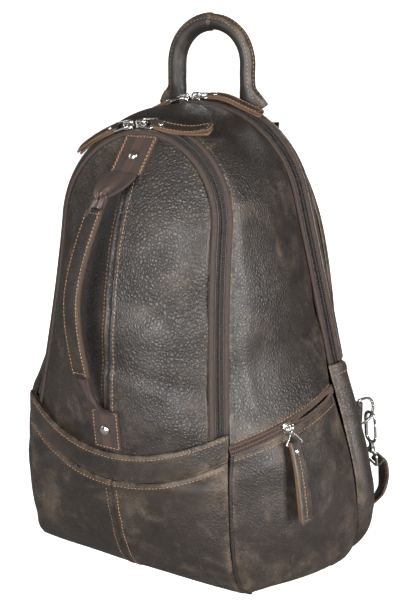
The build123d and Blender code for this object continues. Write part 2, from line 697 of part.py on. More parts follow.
def strap_tail():
    """The slack leather end, from the eye's bar round behind the bag to the buckle."""
    eye = ring_touch() + HOOK_DOWN * (EYE_BAR + 1)
    away = BAR_SIDE.cross(Z).normalized()
    if away.X < 0:
        away = away * -1
    return ribbon((
        (eye + away * 3.2, BAR_SIDE * -1, 9),
        (eye + away * 9 + Z * 4, BAR_SIDE * -1, 9),
        (eye + away * 12 - Z * 12, Vector(0.75, -0.65, 0), 9),
        (eye + away * 9 - Z * 30, Vector(0.5, -0.85, 0), 9.5),
        (eye + Vector(-10, 6, -44), Vector(0.1, -1, 0.1), 10),
        (Vector(124, 95, 68), Vector(0.2, -1, 0), 10),
        (Vector(107, 90, 98), Vector(0.75, -0.6, 0), 11),
        (Vector(101, 86, 122.5), X, 12),
    ), 2.4)


def strap_pad():
    """The padded shoulder strap, from the buckle up to the yoke."""
    return ribbon((
        (Vector(95.5, 86, 143), X, 13),
        (Vector(88, 86, 172), X, 25),
        (Vector(79, 88, 225), X, 29),
        (Vector(66, 88, 290), X, 29),
        (Vector(53, 86, 338), X, 22),
        (Vector(43, 82, 367), X, 12),
    ), 8)


def yoke():
    """A leather patch across the top of the back panel, where both straps are sewn."""
    return block(124, 2.6, 26, (0, BACK_Y + 5.0, 368))


def write_both(name, shape):
    write(f"{name}_right", shape)
    write(f"{name}_left", mirrored(shape))


def main():
    os.makedirs("parts", exist_ok=True)
    left, right = front_panels()
    write("front_panel_left", left)
    write("front_panel_right", right)
    trim, left, right = pocket_parts()
    write("pocket_trim", trim)
    write("pocket_panel_left", left)
    write("pocket_panel_right", right)
    write_both("gusset", gusset())
    write_both("side_pocket", side_pocket())
    write("rear_band_lower", *rear_band_lower())
    write("rear_band_upper", rear_band_upper())
    write("back_panel", back_plate(BACK_Y + 0.3, BACK_Y + 3.3, 4))
    write("back_foam", back_plate(BACK_Y - 8, BACK_Y - 0.2, 14))
    write("base_panel", extrude(base_outline(0.6), amount=2.2, dir=Z))
    write("base_board", extrude(Pos(0, 0, 3) * base_outline(8), amount=3, dir=Z))
    write("main_lining", main_lining())
    write("divider_panel", divider_panel())
    front = FRONT_ZIP.frames(-1, 1, 41)
    rear = MAIN_ZIP.frames(-0.93, 0.93, 41)
    pocket = pocket_frames(0.02, 0.98, 9)
    pocket_tapes, pocket_rows = zip_tapes(pocket, POCKET_ZIP_HALF), zip_rows(pocket)
    write("front_zip_tapes", *zip_tapes(front, ZIP_HALF))
    write("main_zip_tapes", *zip_tapes(rear, ZIP_HALF))
    write("pocket_zip_tapes", *pocket_tapes, *[mirrored(s) for s in pocket_tapes])
    left_rows = [mirrored(s) for s in pocket_rows]
    write("zip_coils", *zip_rows(front), *zip_rows(rear), *pocket_rows, *left_rows)
    write_zip_sets()
    write("top_handle", handle_rod(HANDLE_R) - handle_rod(CORE_R + 0.2))
    write("top_handle_core", handle_rod(CORE_R))
    write("top_handle_tabs", *handle_tabs())
    write("front_grip", strip(grip_frames(0.14, 0.86, 9), -GRIP_HALF, GRIP_HALF, -2, 2))
    write("grip_webbing", strip(grip_frames(0.0, 0.135, 4), -6, 6, -1.2, 1.2),
          strip(grip_frames(0.865, 1.0, 4), -6, 6, -1.2, 1.2))
    write("grip_anchors", grip_anchor(347, 376), grip_anchor(125, 158))
    write("grip_rivets", rivet(361), rivet(141))
    write("strap_yoke", yoke())
    write_both("strap_pad", strap_pad())
    write_both("strap_tail", strap_tail())
    eye, buckle = strap_metal()
    write("strap_metal_right", eye, buckle)
    write("strap_metal_left", mirrored(eye), mirrored(buckle))
    write_both("d_ring", d_ring())
    write("ring_tabs", ring_tab(), mirrored(ring_tab()))
    write_both("snap_hook", snap_hook())
    write_both("hook_gate", hook_gate())


if __name__ == "__main__":
    main()
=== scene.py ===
"""The backpack's looks: soft leather panels, zips, stitching and hardware over the CAD frame."""
import bpy
import numpy as np
from math import asin, atan2, cos, pi, radians, sin, sqrt, tan
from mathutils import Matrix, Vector, noise


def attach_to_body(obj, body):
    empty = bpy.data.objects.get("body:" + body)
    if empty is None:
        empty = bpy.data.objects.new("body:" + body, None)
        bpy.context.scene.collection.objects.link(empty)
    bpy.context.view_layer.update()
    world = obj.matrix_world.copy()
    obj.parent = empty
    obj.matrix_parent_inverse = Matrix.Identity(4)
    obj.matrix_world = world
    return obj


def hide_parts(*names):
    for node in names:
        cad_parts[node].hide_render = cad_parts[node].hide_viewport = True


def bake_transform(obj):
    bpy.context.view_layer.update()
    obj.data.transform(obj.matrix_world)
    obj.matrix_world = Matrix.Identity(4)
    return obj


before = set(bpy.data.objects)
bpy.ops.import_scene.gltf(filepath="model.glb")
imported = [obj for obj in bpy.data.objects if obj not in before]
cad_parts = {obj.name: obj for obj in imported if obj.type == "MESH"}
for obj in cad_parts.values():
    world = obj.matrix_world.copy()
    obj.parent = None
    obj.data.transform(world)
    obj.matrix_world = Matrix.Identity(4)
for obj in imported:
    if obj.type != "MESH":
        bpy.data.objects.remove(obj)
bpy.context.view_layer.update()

MM = 0.001
SEED = 7
rng = np.random.default_rng(SEED)

# ---- Sizes shared with the CAD model, in millimetres ---------------------------------
ZIP_HALF = 8.0
POCKET_ZIP_HALF = 4.5
BACK_Y = 66.0
FRONT_RADIUS, FLATTER_LOW, FLATTER_REACH = 120.0, 90.0, 34.0
CORNER_X = 102.0
RIM_Z, TRIM_Z = 150.0, 127.0
RIM_DIP, TRIM_DIP = 29.0, 31.0
STITCH_PITCH, STITCH_LONG, STITCH_R = 3.4, 2.5, 0.42

# ---- How the leather is made up, in millimetres --------------------------------------
PANEL_WEAR, STRIP_WEAR = 2.5, 1.3      # how far the rubbed look reaches in from an edge
CALM = 18.0                            # a panel has no slack within this of its seams
ASKEW, UNEVEN = 0.06, 0.04             # spread of the threads' turn and height
BAG = "bag"
SIDES = (("right", 1), ("left", -1))


# ---- Vector helpers on arrays of points ----------------------------------------------
def vec(*xyz):
    return np.array(xyz, float)


def unit(v):
    return v / np.maximum(np.linalg.norm(v, axis=-1, keepdims=True), 1e-9)


def lerp(a, b, t):
    return a + (b - a) * t


def smoothstep(a, b, x):
    t = np.clip((x - a) / (b - a), 0, 1)
    return t * t * (3 - 2 * t)


def ridge(x, width):
    """1 where x is 0, fading smoothly over width on both sides."""
    return np.exp(-(x / width) ** 2)


def points_of(x, y, z):
    """Points from their coordinates, each an array or a single number."""
    return np.stack(np.broadcast_arrays(x, y, z), axis=-1)


def curve(points, t):
    """A smooth curve through the points, at t from 0 to 1 (an array), evenly by point."""
    p = np.asarray(points, float)
    ends = np.concatenate([[2 * p[0] - p[1]], p, [2 * p[-1] - p[-2]]])
    s = np.clip(np.asarray(t, float), 0, 1) * (len(p) - 1)
    k = np.minimum(s.astype(int), len(p) - 2)
    f = (s - k).reshape(s.shape + (1,) * (p.ndim - 1))
    a, b, c, d = ends[k], ends[k + 1], ends[k + 2], ends[k + 3]
    return b + 0.5 * ((c - a) * f + (2 * a - 5 * b + 4 * c - d) * f ** 2 + (3 * b - a - 3 * c + d) * f ** 3)


def distances(points):
    """How far along a line each of its points is. For a grid, how far down its columns."""
    steps = np.linalg.norm(np.diff(points, axis=0), axis=-1)
    return np.concatenate([np.zeros_like(steps[:1]), np.cumsum(steps, axis=0)])


def resampled(at, run, values):
    """Rows of values read off at new distances, where run holds the rows' own distances."""
    return np.stack([np.interp(at, run, column) for column in np.transpose(values)], axis=-1)


def even(points, count):
    """The same line resampled to count evenly spaced points."""
    run = distances(points)
    return resampled(np.linspace(0, run[-1], count), run, points)


def tangents(path):
    return unit(np.gradient(path, axis=0))


def outward(p, inside):
    """A grid's normals, all away from a point inside the bag, and whether they were turned."""
    n = unit(np.cross(np.gradient(p, axis=0), np.gradient(p, axis=1)))
    middle = p.shape[0] // 2, p.shape[1] // 2
    turn = np.dot(n[middle], p[middle] - inside) <= 0
    return (-n if turn else n), turn


def ripple(p, size, seed):
    """Soft noise from -1 to 1 at each point, with lumps of about size mm."""
    flat = p.reshape(-1, 3) / size + seed
    return np.array([noise.noise(Vector(q)) for q in flat]).reshape(p.shape[:-1])


def creases(p, size, seed):
    """Sharper folds: 1 on thin wandering lines and 0 between them."""
    sharpness = 5
    return 1 - np.minimum(1, np.abs(ripple(p, size, seed)) * sharpness)


def turned(v, axis, angle):
    """A direction turned about an axis, in degrees."""
    axis, a = unit(axis), radians(angle)
    return v * cos(a) + np.cross(axis, v) * sin(a) + axis * (axis @ v) * (1 - cos(a))


def placed(verts, origin, along, normal, side=None):
    """Points drawn with X along and Z out of the bag, moved to a place on it."""
    side = np.cross(normal, along) if side is None else side
    v = np.asarray(verts, float)
    return origin + v[:, :1] * along + v[:, 1:2] * side + v[:, 2:3] * normal


# ---- Mesh helpers --------------------------------------------------------------------
def make_mesh(name, verts, faces, *materials):
    mesh = bpy.data.meshes.new(name)
    mesh.from_pydata([tuple(v) for v in np.asarray(verts) * MM], [], faces)
    for material in materials:
        mesh.materials.append(material)
    mesh.shade_smooth()
    mesh.update()
    obj = bpy.data.objects.new(name, mesh)
    bpy.context.scene.collection.objects.link(obj)
    return obj


def attach(obj, body, slot, *nodes):
    """Lets a piece ride on a body, and hides the CAD nodes it stands for. slot is not used."""
    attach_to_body(obj, body)
    if nodes:
        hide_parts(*nodes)


def grid_faces(rows, cols, wrap=False):
    return [(i * cols + j, i * cols + (j + 1) % cols, (i + 1) * cols + (j + 1) % cols, (i + 1) * cols + j)
            for i in range(rows - 1) for j in range(cols if wrap else cols - 1)]


def tube_faces(rows, cols, loop=False):
    """Faces round rows of cols points, closed by two end caps or into a loop."""
    last = (rows - 1) * cols
    if loop:
        ends = [(last + j, last + (j + 1) % cols, (j + 1) % cols, j) for j in range(cols)]
    else:
        ends = [tuple(range(cols))[::-1], tuple(range(last, last + cols))]
    return grid_faces(rows, cols, wrap=True) + ends


def store(obj, name, kind, key, values):
    """Stores values on the vertices, for a material to read."""
    attribute = obj.data.attributes.new(name, kind, "POINT")
    attribute.data.foreach_set(key, np.asarray(values, np.float32).ravel())


def set_wear(obj, values):
    """Stores how close each vertex is to a cut or sewn edge, for the leather's wear."""
    store(obj, "wear", "FLOAT", "value", values)


def set_run(obj, along, across, above):
    """Stores each vertex's place on its tape in mm, for the weave."""
    store(obj, "run", "FLOAT_VECTOR", "vector", points_of(along, across, above))


def edge_distance(p, sides=("rows", "cols")):
    """Distance of each grid point from the outer rows, the outer columns or both, in mm."""
    down, across = distances(p), distances(p.swapaxes(0, 1)).T
    far = {"rows": np.minimum(down, down[-1:] - down), "cols": np.minimum(across, across[:, -1:] - across)}
    return np.min([far[s] for s in sides], axis=0)


def sweep(name, path, side, up, profile, material):
    """A closed profile [(across, height)] carried along a path with its own directions."""
    x, h = np.transpose(profile)
    points = path[:, None] + side[:, None] * x[:, None] + up[:, None] * h[:, None]
    obj = make_mesh(name, points.reshape(-1, 3), tube_faces(len(path), len(x)), material)
    set_run(obj, distances(path)[:, None], x, h)
    set_wear(obj, np.tile(np.exp((np.abs(x) - np.abs(x).max()) / 1.2), len(path)))
    return obj


def rounded(half_wide, half_high, corner, steps):
    """A closed rounded rectangle, as a profile for sweep."""
    wide, high = half_wide - corner, half_high - corner
    out = []
    for x, y, start in ((wide, high, 0), (-wide, high, 90), (-wide, -high, 180), (wide, -high, 270)):
        for a in np.radians(start + 90 * np.arange(steps + 1) / steps):
            out.append((x + corner * cos(a), y + corner * sin(a)))
    return out


class Batch:
    """Many small shapes, each (points, faces), gathered into one mesh."""

    def __init__(self):
        self.verts, self.faces, self.count = [], [], 0

    def add(self, shape, *place):
        verts, faces = shape
        self.verts.append(placed(verts, *place) if place else verts)
        self.faces += [tuple(i + self.count for i in f) for f in faces]
        self.count += len(verts)

    def mesh(self, name, material):
        return make_mesh(name, np.concatenate(self.verts), self.faces, material)

    def build(self, name, material, body, slot, *nodes):
        attach(self.mesh(name, material), body, slot, *nodes)


def spun(stations, sides, axes=(0, 1, 2)):
    """A capped solid with an oval at each station: (along, half width, half height)."""
    a = 2 * pi * np.arange(sides) / sides
    along, wide, high = (np.array(v, float)[:, None] for v in zip(*stations))
    rings = points_of(along, wide * np.cos(a), high * np.sin(a)).reshape(-1, 3)
    return rings[:, list(axes)], tube_faces(len(stations), sides)


def thread_shape():
    """One stitch: a short thread along X with rounded ends that dip into the leather."""
    stations = ((-0.5, 0.25), (-0.42, 0.8), (-0.2, 1.0), (0.2, 1.0), (0.42, 0.8), (0.5, 0.25))
    verts, faces = spun([(STITCH_LONG * s, STITCH_R * r, STITCH_R * r) for s, r in stations], 6)
    verts[:, 2] -= 0.25 * verts[:, 0] ** 2
    return verts, faces


STITCH = thread_shape()
threads = Batch()


def stitch(batch, path, normals, lift=0.15, pitch=STITCH_PITCH):
    """Threads along a line on the leather, one per pitch, each slightly askew."""
    run = distances(path)
    count = max(2, int(run[-1] / pitch))
    at = (np.arange(count) + 0.5) * run[-1] / count
    for c, up, along in zip(*(resampled(at, run, v) for v in (path, normals, tangents(path)))):
        up, along = unit(up), unit(along)
        along = unit(along + unit(np.cross(up, along)) * rng.normal(0, ASKEW))
        side = unit(np.cross(up, along))
        batch.add(STITCH, c + up * (lift + rng.normal(0, UNEVEN)), along, up, side)


def sew(surface, *lines, pitch=STITCH_PITCH):
    """Stitches lines of a panel's grid, each given by its index."""
    top, n = surface
    for at in lines:
        stitch(threads, top[at], n[at], pitch=pitch)


def sew_strip(batch, line, offsets, part, lift, pitch):
    """Stitches along part of a strip, at some distances from its middle."""
    for offset in offsets:
        points, normals = line(offset)
        stitch(batch, points[part], normals[part], lift, pitch)


def sew_across(batch, line, row, side, half, count, lift, pitch):
    """Stitches straight across a strip, at one of its rows."""
    points, normals = line(0.0)
    across = np.linspace(-half, half, count)[:, None] * side
    stitch(batch, points[row] + across, 0 * across + normals[row], lift, pitch)


def panel(name, p, material, nodes, inside, sides=("rows", "cols"), roll=2.4, thick=1.8,
          lumps=0.0, lump_size=45, seed=0.0, extra=0.0, slot="smooth_leather", run=None):
    """A leather panel: a grid of outer points, rounded down at its sewn edges, with a
    little slack in its surface, and closed to a real thickness. extra is added to its
    height. Returns its surface as points and normals."""
    n, turn = outward(p, inside)
    rows, cols = p.shape[:2]
    count = rows * cols
    far = edge_distance(p, sides) if sides else np.full((rows, cols), 99.0)
    dip = 0.8 * (roll - np.sqrt(roll ** 2 - np.maximum(roll - far, 0) ** 2))
    height = lumps * ripple(p, lump_size, seed) * smoothstep(0, CALM, far) - dip + extra
    top = p + n * height[..., None]
    sheet = grid_faces(rows, cols)
    index = np.arange(count).reshape(rows, cols)
    border = np.concatenate([index[0], index[1:, -1], index[-1, -2::-1], index[-2:0:-1, 0]]).tolist()
    rim = [(a, b, b + count, a + count) for a, b in zip(border, border[1:] + border[:1])]
    if turn:
        sheet, rim = ([face[::-1] for face in faces] for faces in (sheet, rim))
    under = [tuple(k + count for k in face[::-1]) for face in sheet]
    verts = np.concatenate([top.reshape(-1, 3), (top - n * thick).reshape(-1, 3)])
    obj = make_mesh(name, verts, sheet + under + rim, material)
    set_wear(obj, np.tile(np.exp(-far / PANEL_WEAR).ravel(), 2))
    if run:
        set_run(obj, *run)
    attach(obj, BAG, slot, *nodes)
    return top, n


def frame_normals(path, up):
    """Sideways and outward directions along a path, from a rough outward one."""
    t = tangents(path)
    side = unit(np.cross(np.broadcast_to(up, path.shape), t))
    return side, np.cross(t, side)


def strip(name, path, up, half, thick, mats, puff=0.0, bevel=0.45, across=9, slope=None):
    """A flat strip of leather or webbing, with its own material on its top, its cut sides
    and its underside. half and puff may vary along it. Returns the object and a function
    that gives a line on its top, at a distance from the middle."""
    count = len(path)
    side, out = frame_normals(path, up)
    half, puff = (np.broadcast_to(np.asarray(v, float), count)[:, None] for v in (half, puff))
    s = np.linspace(-1, 1, across)
    flat = half - bevel
    crown = puff * (1 - s ** 2)
    top = thick / 2 + crown
    if slope is not None:
        top = top + slope(np.linspace(0, 1, count)[:, None], s)
    corner = np.full_like(half, thick / 2 - bevel)
    xs = np.concatenate([s * flat, half, half, -s * flat, -half, -half], axis=1)
    hs = np.concatenate([top, corner, -corner, -thick / 2 - crown * 0.5, -corner, corner], axis=1)
    points = path[:, None] + side[:, None] * xs[..., None] + out[:, None] * hs[..., None]
    obj = make_mesh(name, points.reshape(-1, 3), tube_faces(count, xs.shape[1]), *mats)
    kind = np.tile(np.repeat((0, 1, 2, 1), (across - 1, 3, across - 1, 3)), count - 1)
    kind = np.minimum(np.concatenate([kind, (1, 1)]), len(mats) - 1)
    obj.data.polygons.foreach_set("material_index", kind.astype(np.int32))
    set_run(obj, distances(path)[:, None], xs, hs)
    set_wear(obj, np.exp((np.abs(xs) - half) / STRIP_WEAR))

    def line(offset):
        return path + side * offset + out * (thick / 2 + puff * (1 - (offset / flat) ** 2)), out

    return obj, line


def tube(path, radius, sides=10, closed=False):
    """Points and faces of a round wire along a line of points."""
    p = np.asarray(path, float)
    t = unit(np.roll(p, -1, 0) - np.roll(p, 1, 0)) if closed else tangents(p)
    side = unit(np.cross(t[0], vec(0.31, 0.52, 0.8)))
    carried = []
    for each in t:
        side = unit(side - each * side.dot(each))
        carried.append(side)
    side = np.array(carried)[:, None]
    up = np.cross(t[:, None], side)
    a = (2 * pi * np.arange(sides) / sides)[:, None]
    radius = np.broadcast_to(radius, len(p))[:, None, None]
    verts = p[:, None] + radius * (np.cos(a) * side + np.sin(a) * up)
    return verts.reshape(-1, 3), tube_faces(len(p), sides, closed)


def round_corners(points, radius, closed=True, steps=5):
    """A line of points with each of its corners rounded off."""
    p = np.asarray(points, float)
    out = []
    for k, b in enumerate(p):
        if not closed and k in (0, len(p) - 1):
            out.append(b)
            continue
        a, c = p[k - 1], p[(k + 1) % len(p)]
        start, end = b + unit(a - b) * radius, b + unit(c - b) * radius
        for s in np.linspace(0, 1, steps + 1):
            out.append(start * (1 - s) ** 2 + b * 2 * s * (1 - s) + end * s ** 2)
    return np.array(out)


def slab(outline, low, high, bevel):
    """A plate with rounded rims, from an outline in X and Y."""
    away = unit(outline - outline.mean(axis=0))
    rings = []
    for z, inset in ((low, 1), (low + 0.3 * bevel, 0.3), (low + bevel, 0),
                     (high - bevel, 0), (high - 0.3 * bevel, 0.3), (high, 1)):
        rings.append(np.column_stack([outline - away * bevel * inset, np.full(len(outline), z)]))
    return np.concatenate(rings), tube_faces(len(rings), len(outline))


def slot_outline(long, wide, taper=0.0):
    """A slot's outline, narrower at its +X end by taper."""
    a = np.linspace(-pi / 2, pi / 2, 9)
    right = np.column_stack([long / 2 - wide / 2 + wide / 2 * np.cos(a), wide / 2 * np.sin(a)])
    outline = np.concatenate([right, -right])
    outline[:, 1] *= 1 - taper * (outline[:, 0] / long + 0.5)
    return outline


def dome(radius, height):
    """A rivet's head, with Z up and its flat side just under the origin."""
    a = np.linspace(0, pi / 2 * 0.92, 7)
    stations = [(height * sin(k), radius * cos(k), radius * cos(k)) for k in a]
    return spun([(-0.6, radius, radius)] + stations, 20, (1, 2, 0))


# ---- Zip lines and the bag's surface, as in the CAD model -----------------------------
class Ring:
    """A zip line: an arch over the top and two sides, in a plane that leans in Y."""

    def __init__(self, radius, centre_z, arch, flare, bend, y_at_150, y_per_z, z_end, tilt):
        self.radius, self.centre_z, self.arch = radius, centre_z, radians(arch)
        self.flare, self.bend = flare, bend
        long = sqrt(1 + y_per_z ** 2)
        self.up = vec(0, y_per_z, 1) / long
        self.front = vec(0, -1, y_per_z) / long
        self.origin = vec(0, y_at_150 - 150 * y_per_z, 0)
        self.centre_h = centre_z * long
        self.tilt = radians(tilt)
        self.arch_length = radius * self.arch
        self.length = self.arch_length + self.centre_h + radius * cos(self.arch) - z_end * long

    def at(self, u, shift=0.0):
        """Points, tangents, across and normals at an array of u, -1 left, 0 top, 1 right."""
        u = np.atleast_1d(u)
        side = np.where(u < 0, -1.0, 1.0)[:, None]
        run = np.abs(u)[:, None] * self.length
        on_arch = run <= self.arch_length
        a = np.minimum(run / self.radius, self.arch)
        d = np.maximum(run - self.arch_length, 0)
        x = self.radius * np.sin(a) + self.flare * d + self.bend * d ** 1.5
        h = self.centre_h + self.radius * np.cos(a) - d
        slope = self.flare + 1.5 * self.bend * np.sqrt(d)
        long = np.sqrt(1 + slope ** 2)
        out_x = np.where(on_arch, np.sin(a), 1 / long) * side
        out_h = np.where(on_arch, np.cos(a), slope / long)
        ex = vec(1, 0, 0)
        radial = out_x * ex + out_h * self.up
        normal = self.front * cos(self.tilt) + radial * sin(self.tilt)
        across = radial * cos(self.tilt) - self.front * sin(self.tilt)
        point = self.origin + x * side * ex + h * self.up
        return point + across * shift, out_h * ex - out_x * self.up, across, normal


FRONT_ZIP = Ring(radius=79, centre_z=304.5, arch=90, flare=0.0, bend=0.0065,
                 y_at_150=-78, y_per_z=0.153, z_end=150, tilt=45)
MAIN_ZIP = Ring(radius=98.7, centre_z=300.5, arch=75.3, flare=tan(radians(90 - 75.3)), bend=-0.0014,
                y_at_150=50.8, y_per_z=-0.02, z_end=162, tilt=75)
INSIDE = vec(0, -10, 170)

PROFILE = ((-87, 39), (-99, 90), (-104, 150), (-101, 220), (-91, 284), (-72, 335), (-42, 386))
PROFILE_LINE = curve(PROFILE, np.linspace(0, 1, 300))


def front_y(z):
    return np.interp(z, PROFILE_LINE[:, 1], PROFILE_LINE[:, 0])


def front_point(x, z, lift=0.0):
    """Points on the front panel's surface."""
    radius = FRONT_RADIUS + FLATTER_LOW * np.exp(-np.abs(z - RIM_Z) / FLATTER_REACH)
    return points_of(x, front_y(z) - lift + radius - np.sqrt(radius ** 2 - x ** 2), z)


# The slip pocket's rows, from its rim down: y and z in the middle, degrees it faces
# down, half width, and how far its ends lie behind its middle.
POCKET_ROWS = (
    (-106.5, 151, 0, CORNER_X, 24.5),
    (-105, 112, 4, CORNER_X, 22),
    (-99, 74, 12, CORNER_X + 0.5, 17),
    (-90, 39, 22, CORNER_X + 1, 10.5),
    (-80, 16, 45, CORNER_X + 3, 5.5),
    (-68, 3.5, 70, CORNER_X + 5, 2.5),
    (-58, 0, 90, CORNER_X + 6, 0.3),
)


def pocket_point(f, w):
    """Points on the slip pocket: f from -1 to 1 across, w from 0 at the top to 1."""
    f, w = np.broadcast_arrays(f, w)
    y, z, face, half, back = np.moveaxis(curve(POCKET_ROWS, w.ravel()).reshape(w.shape + (5,)), -1, 0)
    face, drop = np.radians(face), back * f ** 2
    return points_of(half * f, y + np.cos(face) * drop, z + np.sin(face) * drop)


def pocket_w(f, z_end, dip):
    """The w at which the slip pocket's surface meets a rim that hangs in the middle."""
    ws = np.linspace(0, 0.6, 120)
    rim = dip * (1 - f ** 2) - z_end
    return np.array([np.interp(low, -pocket_point(each, ws)[:, 2], ws) for low, each in zip(rim, f)])


def circle_of(a, m, b):
    """Centre, radius and upward axis of the circle through three points."""
    u, v = m - a, b - a
    w = np.cross(u, v)
    centre = a + (np.cross(w, u) * v.dot(v) + np.cross(v, w) * u.dot(u)) / (2 * w.dot(w))
    return centre, np.linalg.norm(a - centre), unit(w) * np.sign(w[2])


POCKET_FRONT, POCKET_REAR = vec(101.5, -80, 134), vec(137, 34, 161)
POCKET_BULGE = 13
chord = unit(POCKET_REAR - POCKET_FRONT)
POCKET_MIDDLE = (POCKET_FRONT + POCKET_REAR) / 2 + unit(vec(chord[1], -chord[0], 0.12)) * POCKET_BULGE
POCKET_CENTRE, POCKET_RADIUS, POCKET_AXIS = circle_of(POCKET_FRONT, POCKET_MIDDLE, POCKET_REAR)


def pocket_zip_at(t):
    """Points, tangents, across (downwards) and normals along the right side zip."""
    start = POCKET_FRONT - POCKET_CENTRE
    total = 2 * asin(np.linalg.norm(POCKET_REAR - POCKET_FRONT) / 2 / POCKET_RADIUS)
    a = np.atleast_1d(t)[:, None] * total
    normal = unit(np.cos(a) * start + np.sin(a) * np.cross(POCKET_AXIS, start))
    tangent = unit(np.cross(POCKET_AXIS, normal))
    across = np.cross(tangent, normal)
    across = np.where(across[:, 2:3] > 0, -across, across)
    return POCKET_CENTRE + normal * POCKET_RADIUS, tangent, across, normal


def on_side(flip, *arrays):
    """Right-hand points or directions, mirrored where flip is -1."""
    return [a * vec(flip, 1, 1) for a in arrays]


# ---- Materials -----------------------------------------------------------------------
def rgb(r, g, b, tone=1.0):
    return (r * tone, g * tone, b * tone, 1.0)


def tinted(colour, *scale):
    return rgb(*(c * s for c, s in zip(colour, scale)))


class Shader:
    """A node tree, with short ways to add the nodes that the looks are made of."""

    def __init__(self, owner, main="Principled BSDF"):
        owner.use_nodes = True
        self.owner, self.tree = owner, owner.node_tree
        self.main = self.tree.nodes[main]
        self.coords = self.node("TexCoord").outputs
        self.where = self.coords["Object"]

    def feed(self, node, inputs):
        """An input given as a socket is linked, anything else is set."""
        for key, value in inputs.items():
            if isinstance(value, bpy.types.NodeSocket):
                self.tree.links.new(value, node.inputs[key])
            else:
                node.inputs[key].default_value = value

    def node(self, kind, inputs={}, **props):
        made = self.tree.nodes.new("ShaderNode" + kind)
        for key, value in props.items():
            setattr(made, key, value)
        self.feed(made, inputs)
        return made

    def calc(self, operation, a, b=0.0):
        return self.node("Math", {0: a, 1: b}, operation=operation).outputs[0]

    def times(self, a, b):
        return self.calc("MULTIPLY", a, b)

    def plus(self, a, b):
        return self.calc("ADD", a, b)

    def span(self, value, low, high, out_low=0.0, out_high=1.0):
        """value from low..high to out_low..out_high, smoothly and held at both ends."""
        inputs = {0: value, 1: low, 2: high, 3: out_low, 4: out_high}
        return self.node("MapRange", inputs, interpolation_type="SMOOTHSTEP").outputs[0]

    def mixed(self, share, a, b):
        return self.node("Mix", {0: share, 6: a, 7: b}, data_type="RGBA").outputs[2]

    def noise(self, scale, detail=4.0, rough=0.55, distort=0.0, where=None):
        return self.node("TexNoise", {"Vector": where or self.where, "Scale": scale, "Detail": detail,
                                      "Roughness": rough, "Distortion": distort}).outputs[0]

    def borders(self, where, scale):
        """Distance from the borders of a pattern of cells."""
        inputs = {"Vector": where, "Scale": scale}
        return self.node("TexVoronoi", inputs, feature="DISTANCE_TO_EDGE").outputs[0]

    def stretched(self, *scale):
        return self.node("Mapping", {"Vector": self.where, "Scale": scale}).outputs[0]

    def finish(self, colour, rough, height, strength, depth, extra={}):
        """Sets the surface's colour, roughness and bump, and gives back its material."""
        bump = self.node("Bump", {"Height": height, "Strength": strength, "Distance": depth}).outputs[0]
        self.feed(self.main, {"Base Color": colour, "Roughness": rough, "Normal": bump, **extra})
        return self.owner


def new_shader(name):
    return Shader(bpy.data.materials.new(name))


def scratches(s):
    """Fine short scratches in patches, in two directions."""
    found = 0.0
    for lean, size in ((0.9, 46.0), (-0.5, 60.0)):
        inputs = {0: s.where, 2: (lean, 0.3, lean * 0.7), 3: (1.0, 1.0, 0.09)}
        inputs = {"Vector": s.node("Mapping", inputs).outputs[0], "Scale": size * 4, "Detail": 1.0}
        line = s.calc("SUBTRACT", s.node("TexNoise", inputs).outputs[0], 0.5)
        line = s.span(s.calc("ABSOLUTE", line), 0.0, 0.012, 1.0, 0.0)
        patch = s.span(s.noise(size, 4.0, 0.7), 0.60, 0.72)
        found = s.calc("MAXIMUM", s.times(line, patch), found)
    return found


def leather(name, deep, pale, grain, cell, scuffs, rough):
    """Pull-up leather: pebbled grain with painted shade in its valleys, pale worn creases, scuff marks and
    rubbed edges.
    """
    s = new_shader(name)
    bend = s.node("TexNoise", {"Vector": s.where, "Scale": 130.0, "Detail": 1.0}).outputs[1]
    bend = s.node("VectorMath", {0: bend, "Scale": 0.0022}, operation="SCALE").outputs[0]
    warped = s.node("VectorMath", {0: s.stretched(1.0, 1.0, 0.8), 1: bend}).outputs[0]
    borders = s.borders(warped, cell)
    fine = s.span(s.borders(warped, cell * 2.3), 0.0, 0.2)
    zone = s.span(s.noise(16.0, 3.0), 0.38, 0.62, 0.35, 1.0)
    mottle = s.noise(95.0, 5.0, 0.65)
    vein = s.times(scratches(s), 0.5 * scuffs)
    rub = s.span(s.noise(26.0, 10.0, 0.75, 0.3), 0.50, 0.72, 0.0, 0.62 * scuffs)
    wear = s.node("Attribute", attribute_name="wear").outputs["Fac"]
    edge = s.times(wear, s.span(mottle, 0.42, 0.62, 0.15, 0.8))
    # crease: painted shade, a darker colour in the grain's valleys between its cells, where the bump sinks;
    # the same valleys are also made rougher
    crease = s.times(s.span(borders, 0.0, 0.2, 1.0, 0.0), s.times(zone, 0.95 * grain))
    worn = s.span(s.noise(19.0, 6.0, 0.6, 0.4), 0.54, 0.72, 0.0, 0.45 * scuffs)
    worn = s.times(worn, s.span(borders, 0.0, 0.26, 1.0, 0.15))
    tan_dust = rgb(0.27, 0.185, 0.115)
    base = s.mixed(s.span(s.noise(22.0, 6.0, 0.6, 0.4), 0.3, 0.72), deep, pale)
    # the mix with the darker copy of deep paints shade into the grain's valleys
    for share, colour in ((s.span(mottle, 0.35, 0.7, 0.0, 0.35), tinted(pale, 1.25, 1.18, 1.1)),
                          (vein, tan_dust), (rub, rgb(0.125, 0.090, 0.063)), (s.times(edge, 0.55), tan_dust),
                          (crease, tinted(deep, 0.45, 0.42, 0.4)), (worn, rgb(0.15, 0.105, 0.070))):
        base = s.mixed(share, base, colour)
    glaze = s.plus(s.times(mottle, 0.22), rough - 0.11)
    glaze = s.plus(glaze, s.times(s.plus(rub, vein), 0.3))
    glaze = s.plus(glaze, s.times(crease, 0.35))
    relief = s.times(s.span(borders, 0.0, 0.34), s.times(zone, grain))
    for height, share in ((fine, 0.12 * grain), (s.noise(1500.0, 3.0), 0.05), (vein, -0.5),
                          (s.noise(60.0, 3.0, 0.4), 1.8)):
        relief = s.plus(relief, s.times(height, share))
    return s.finish(base, glaze, relief, 1.0, 0.0003, {"Specular IOR Level": 0.55})


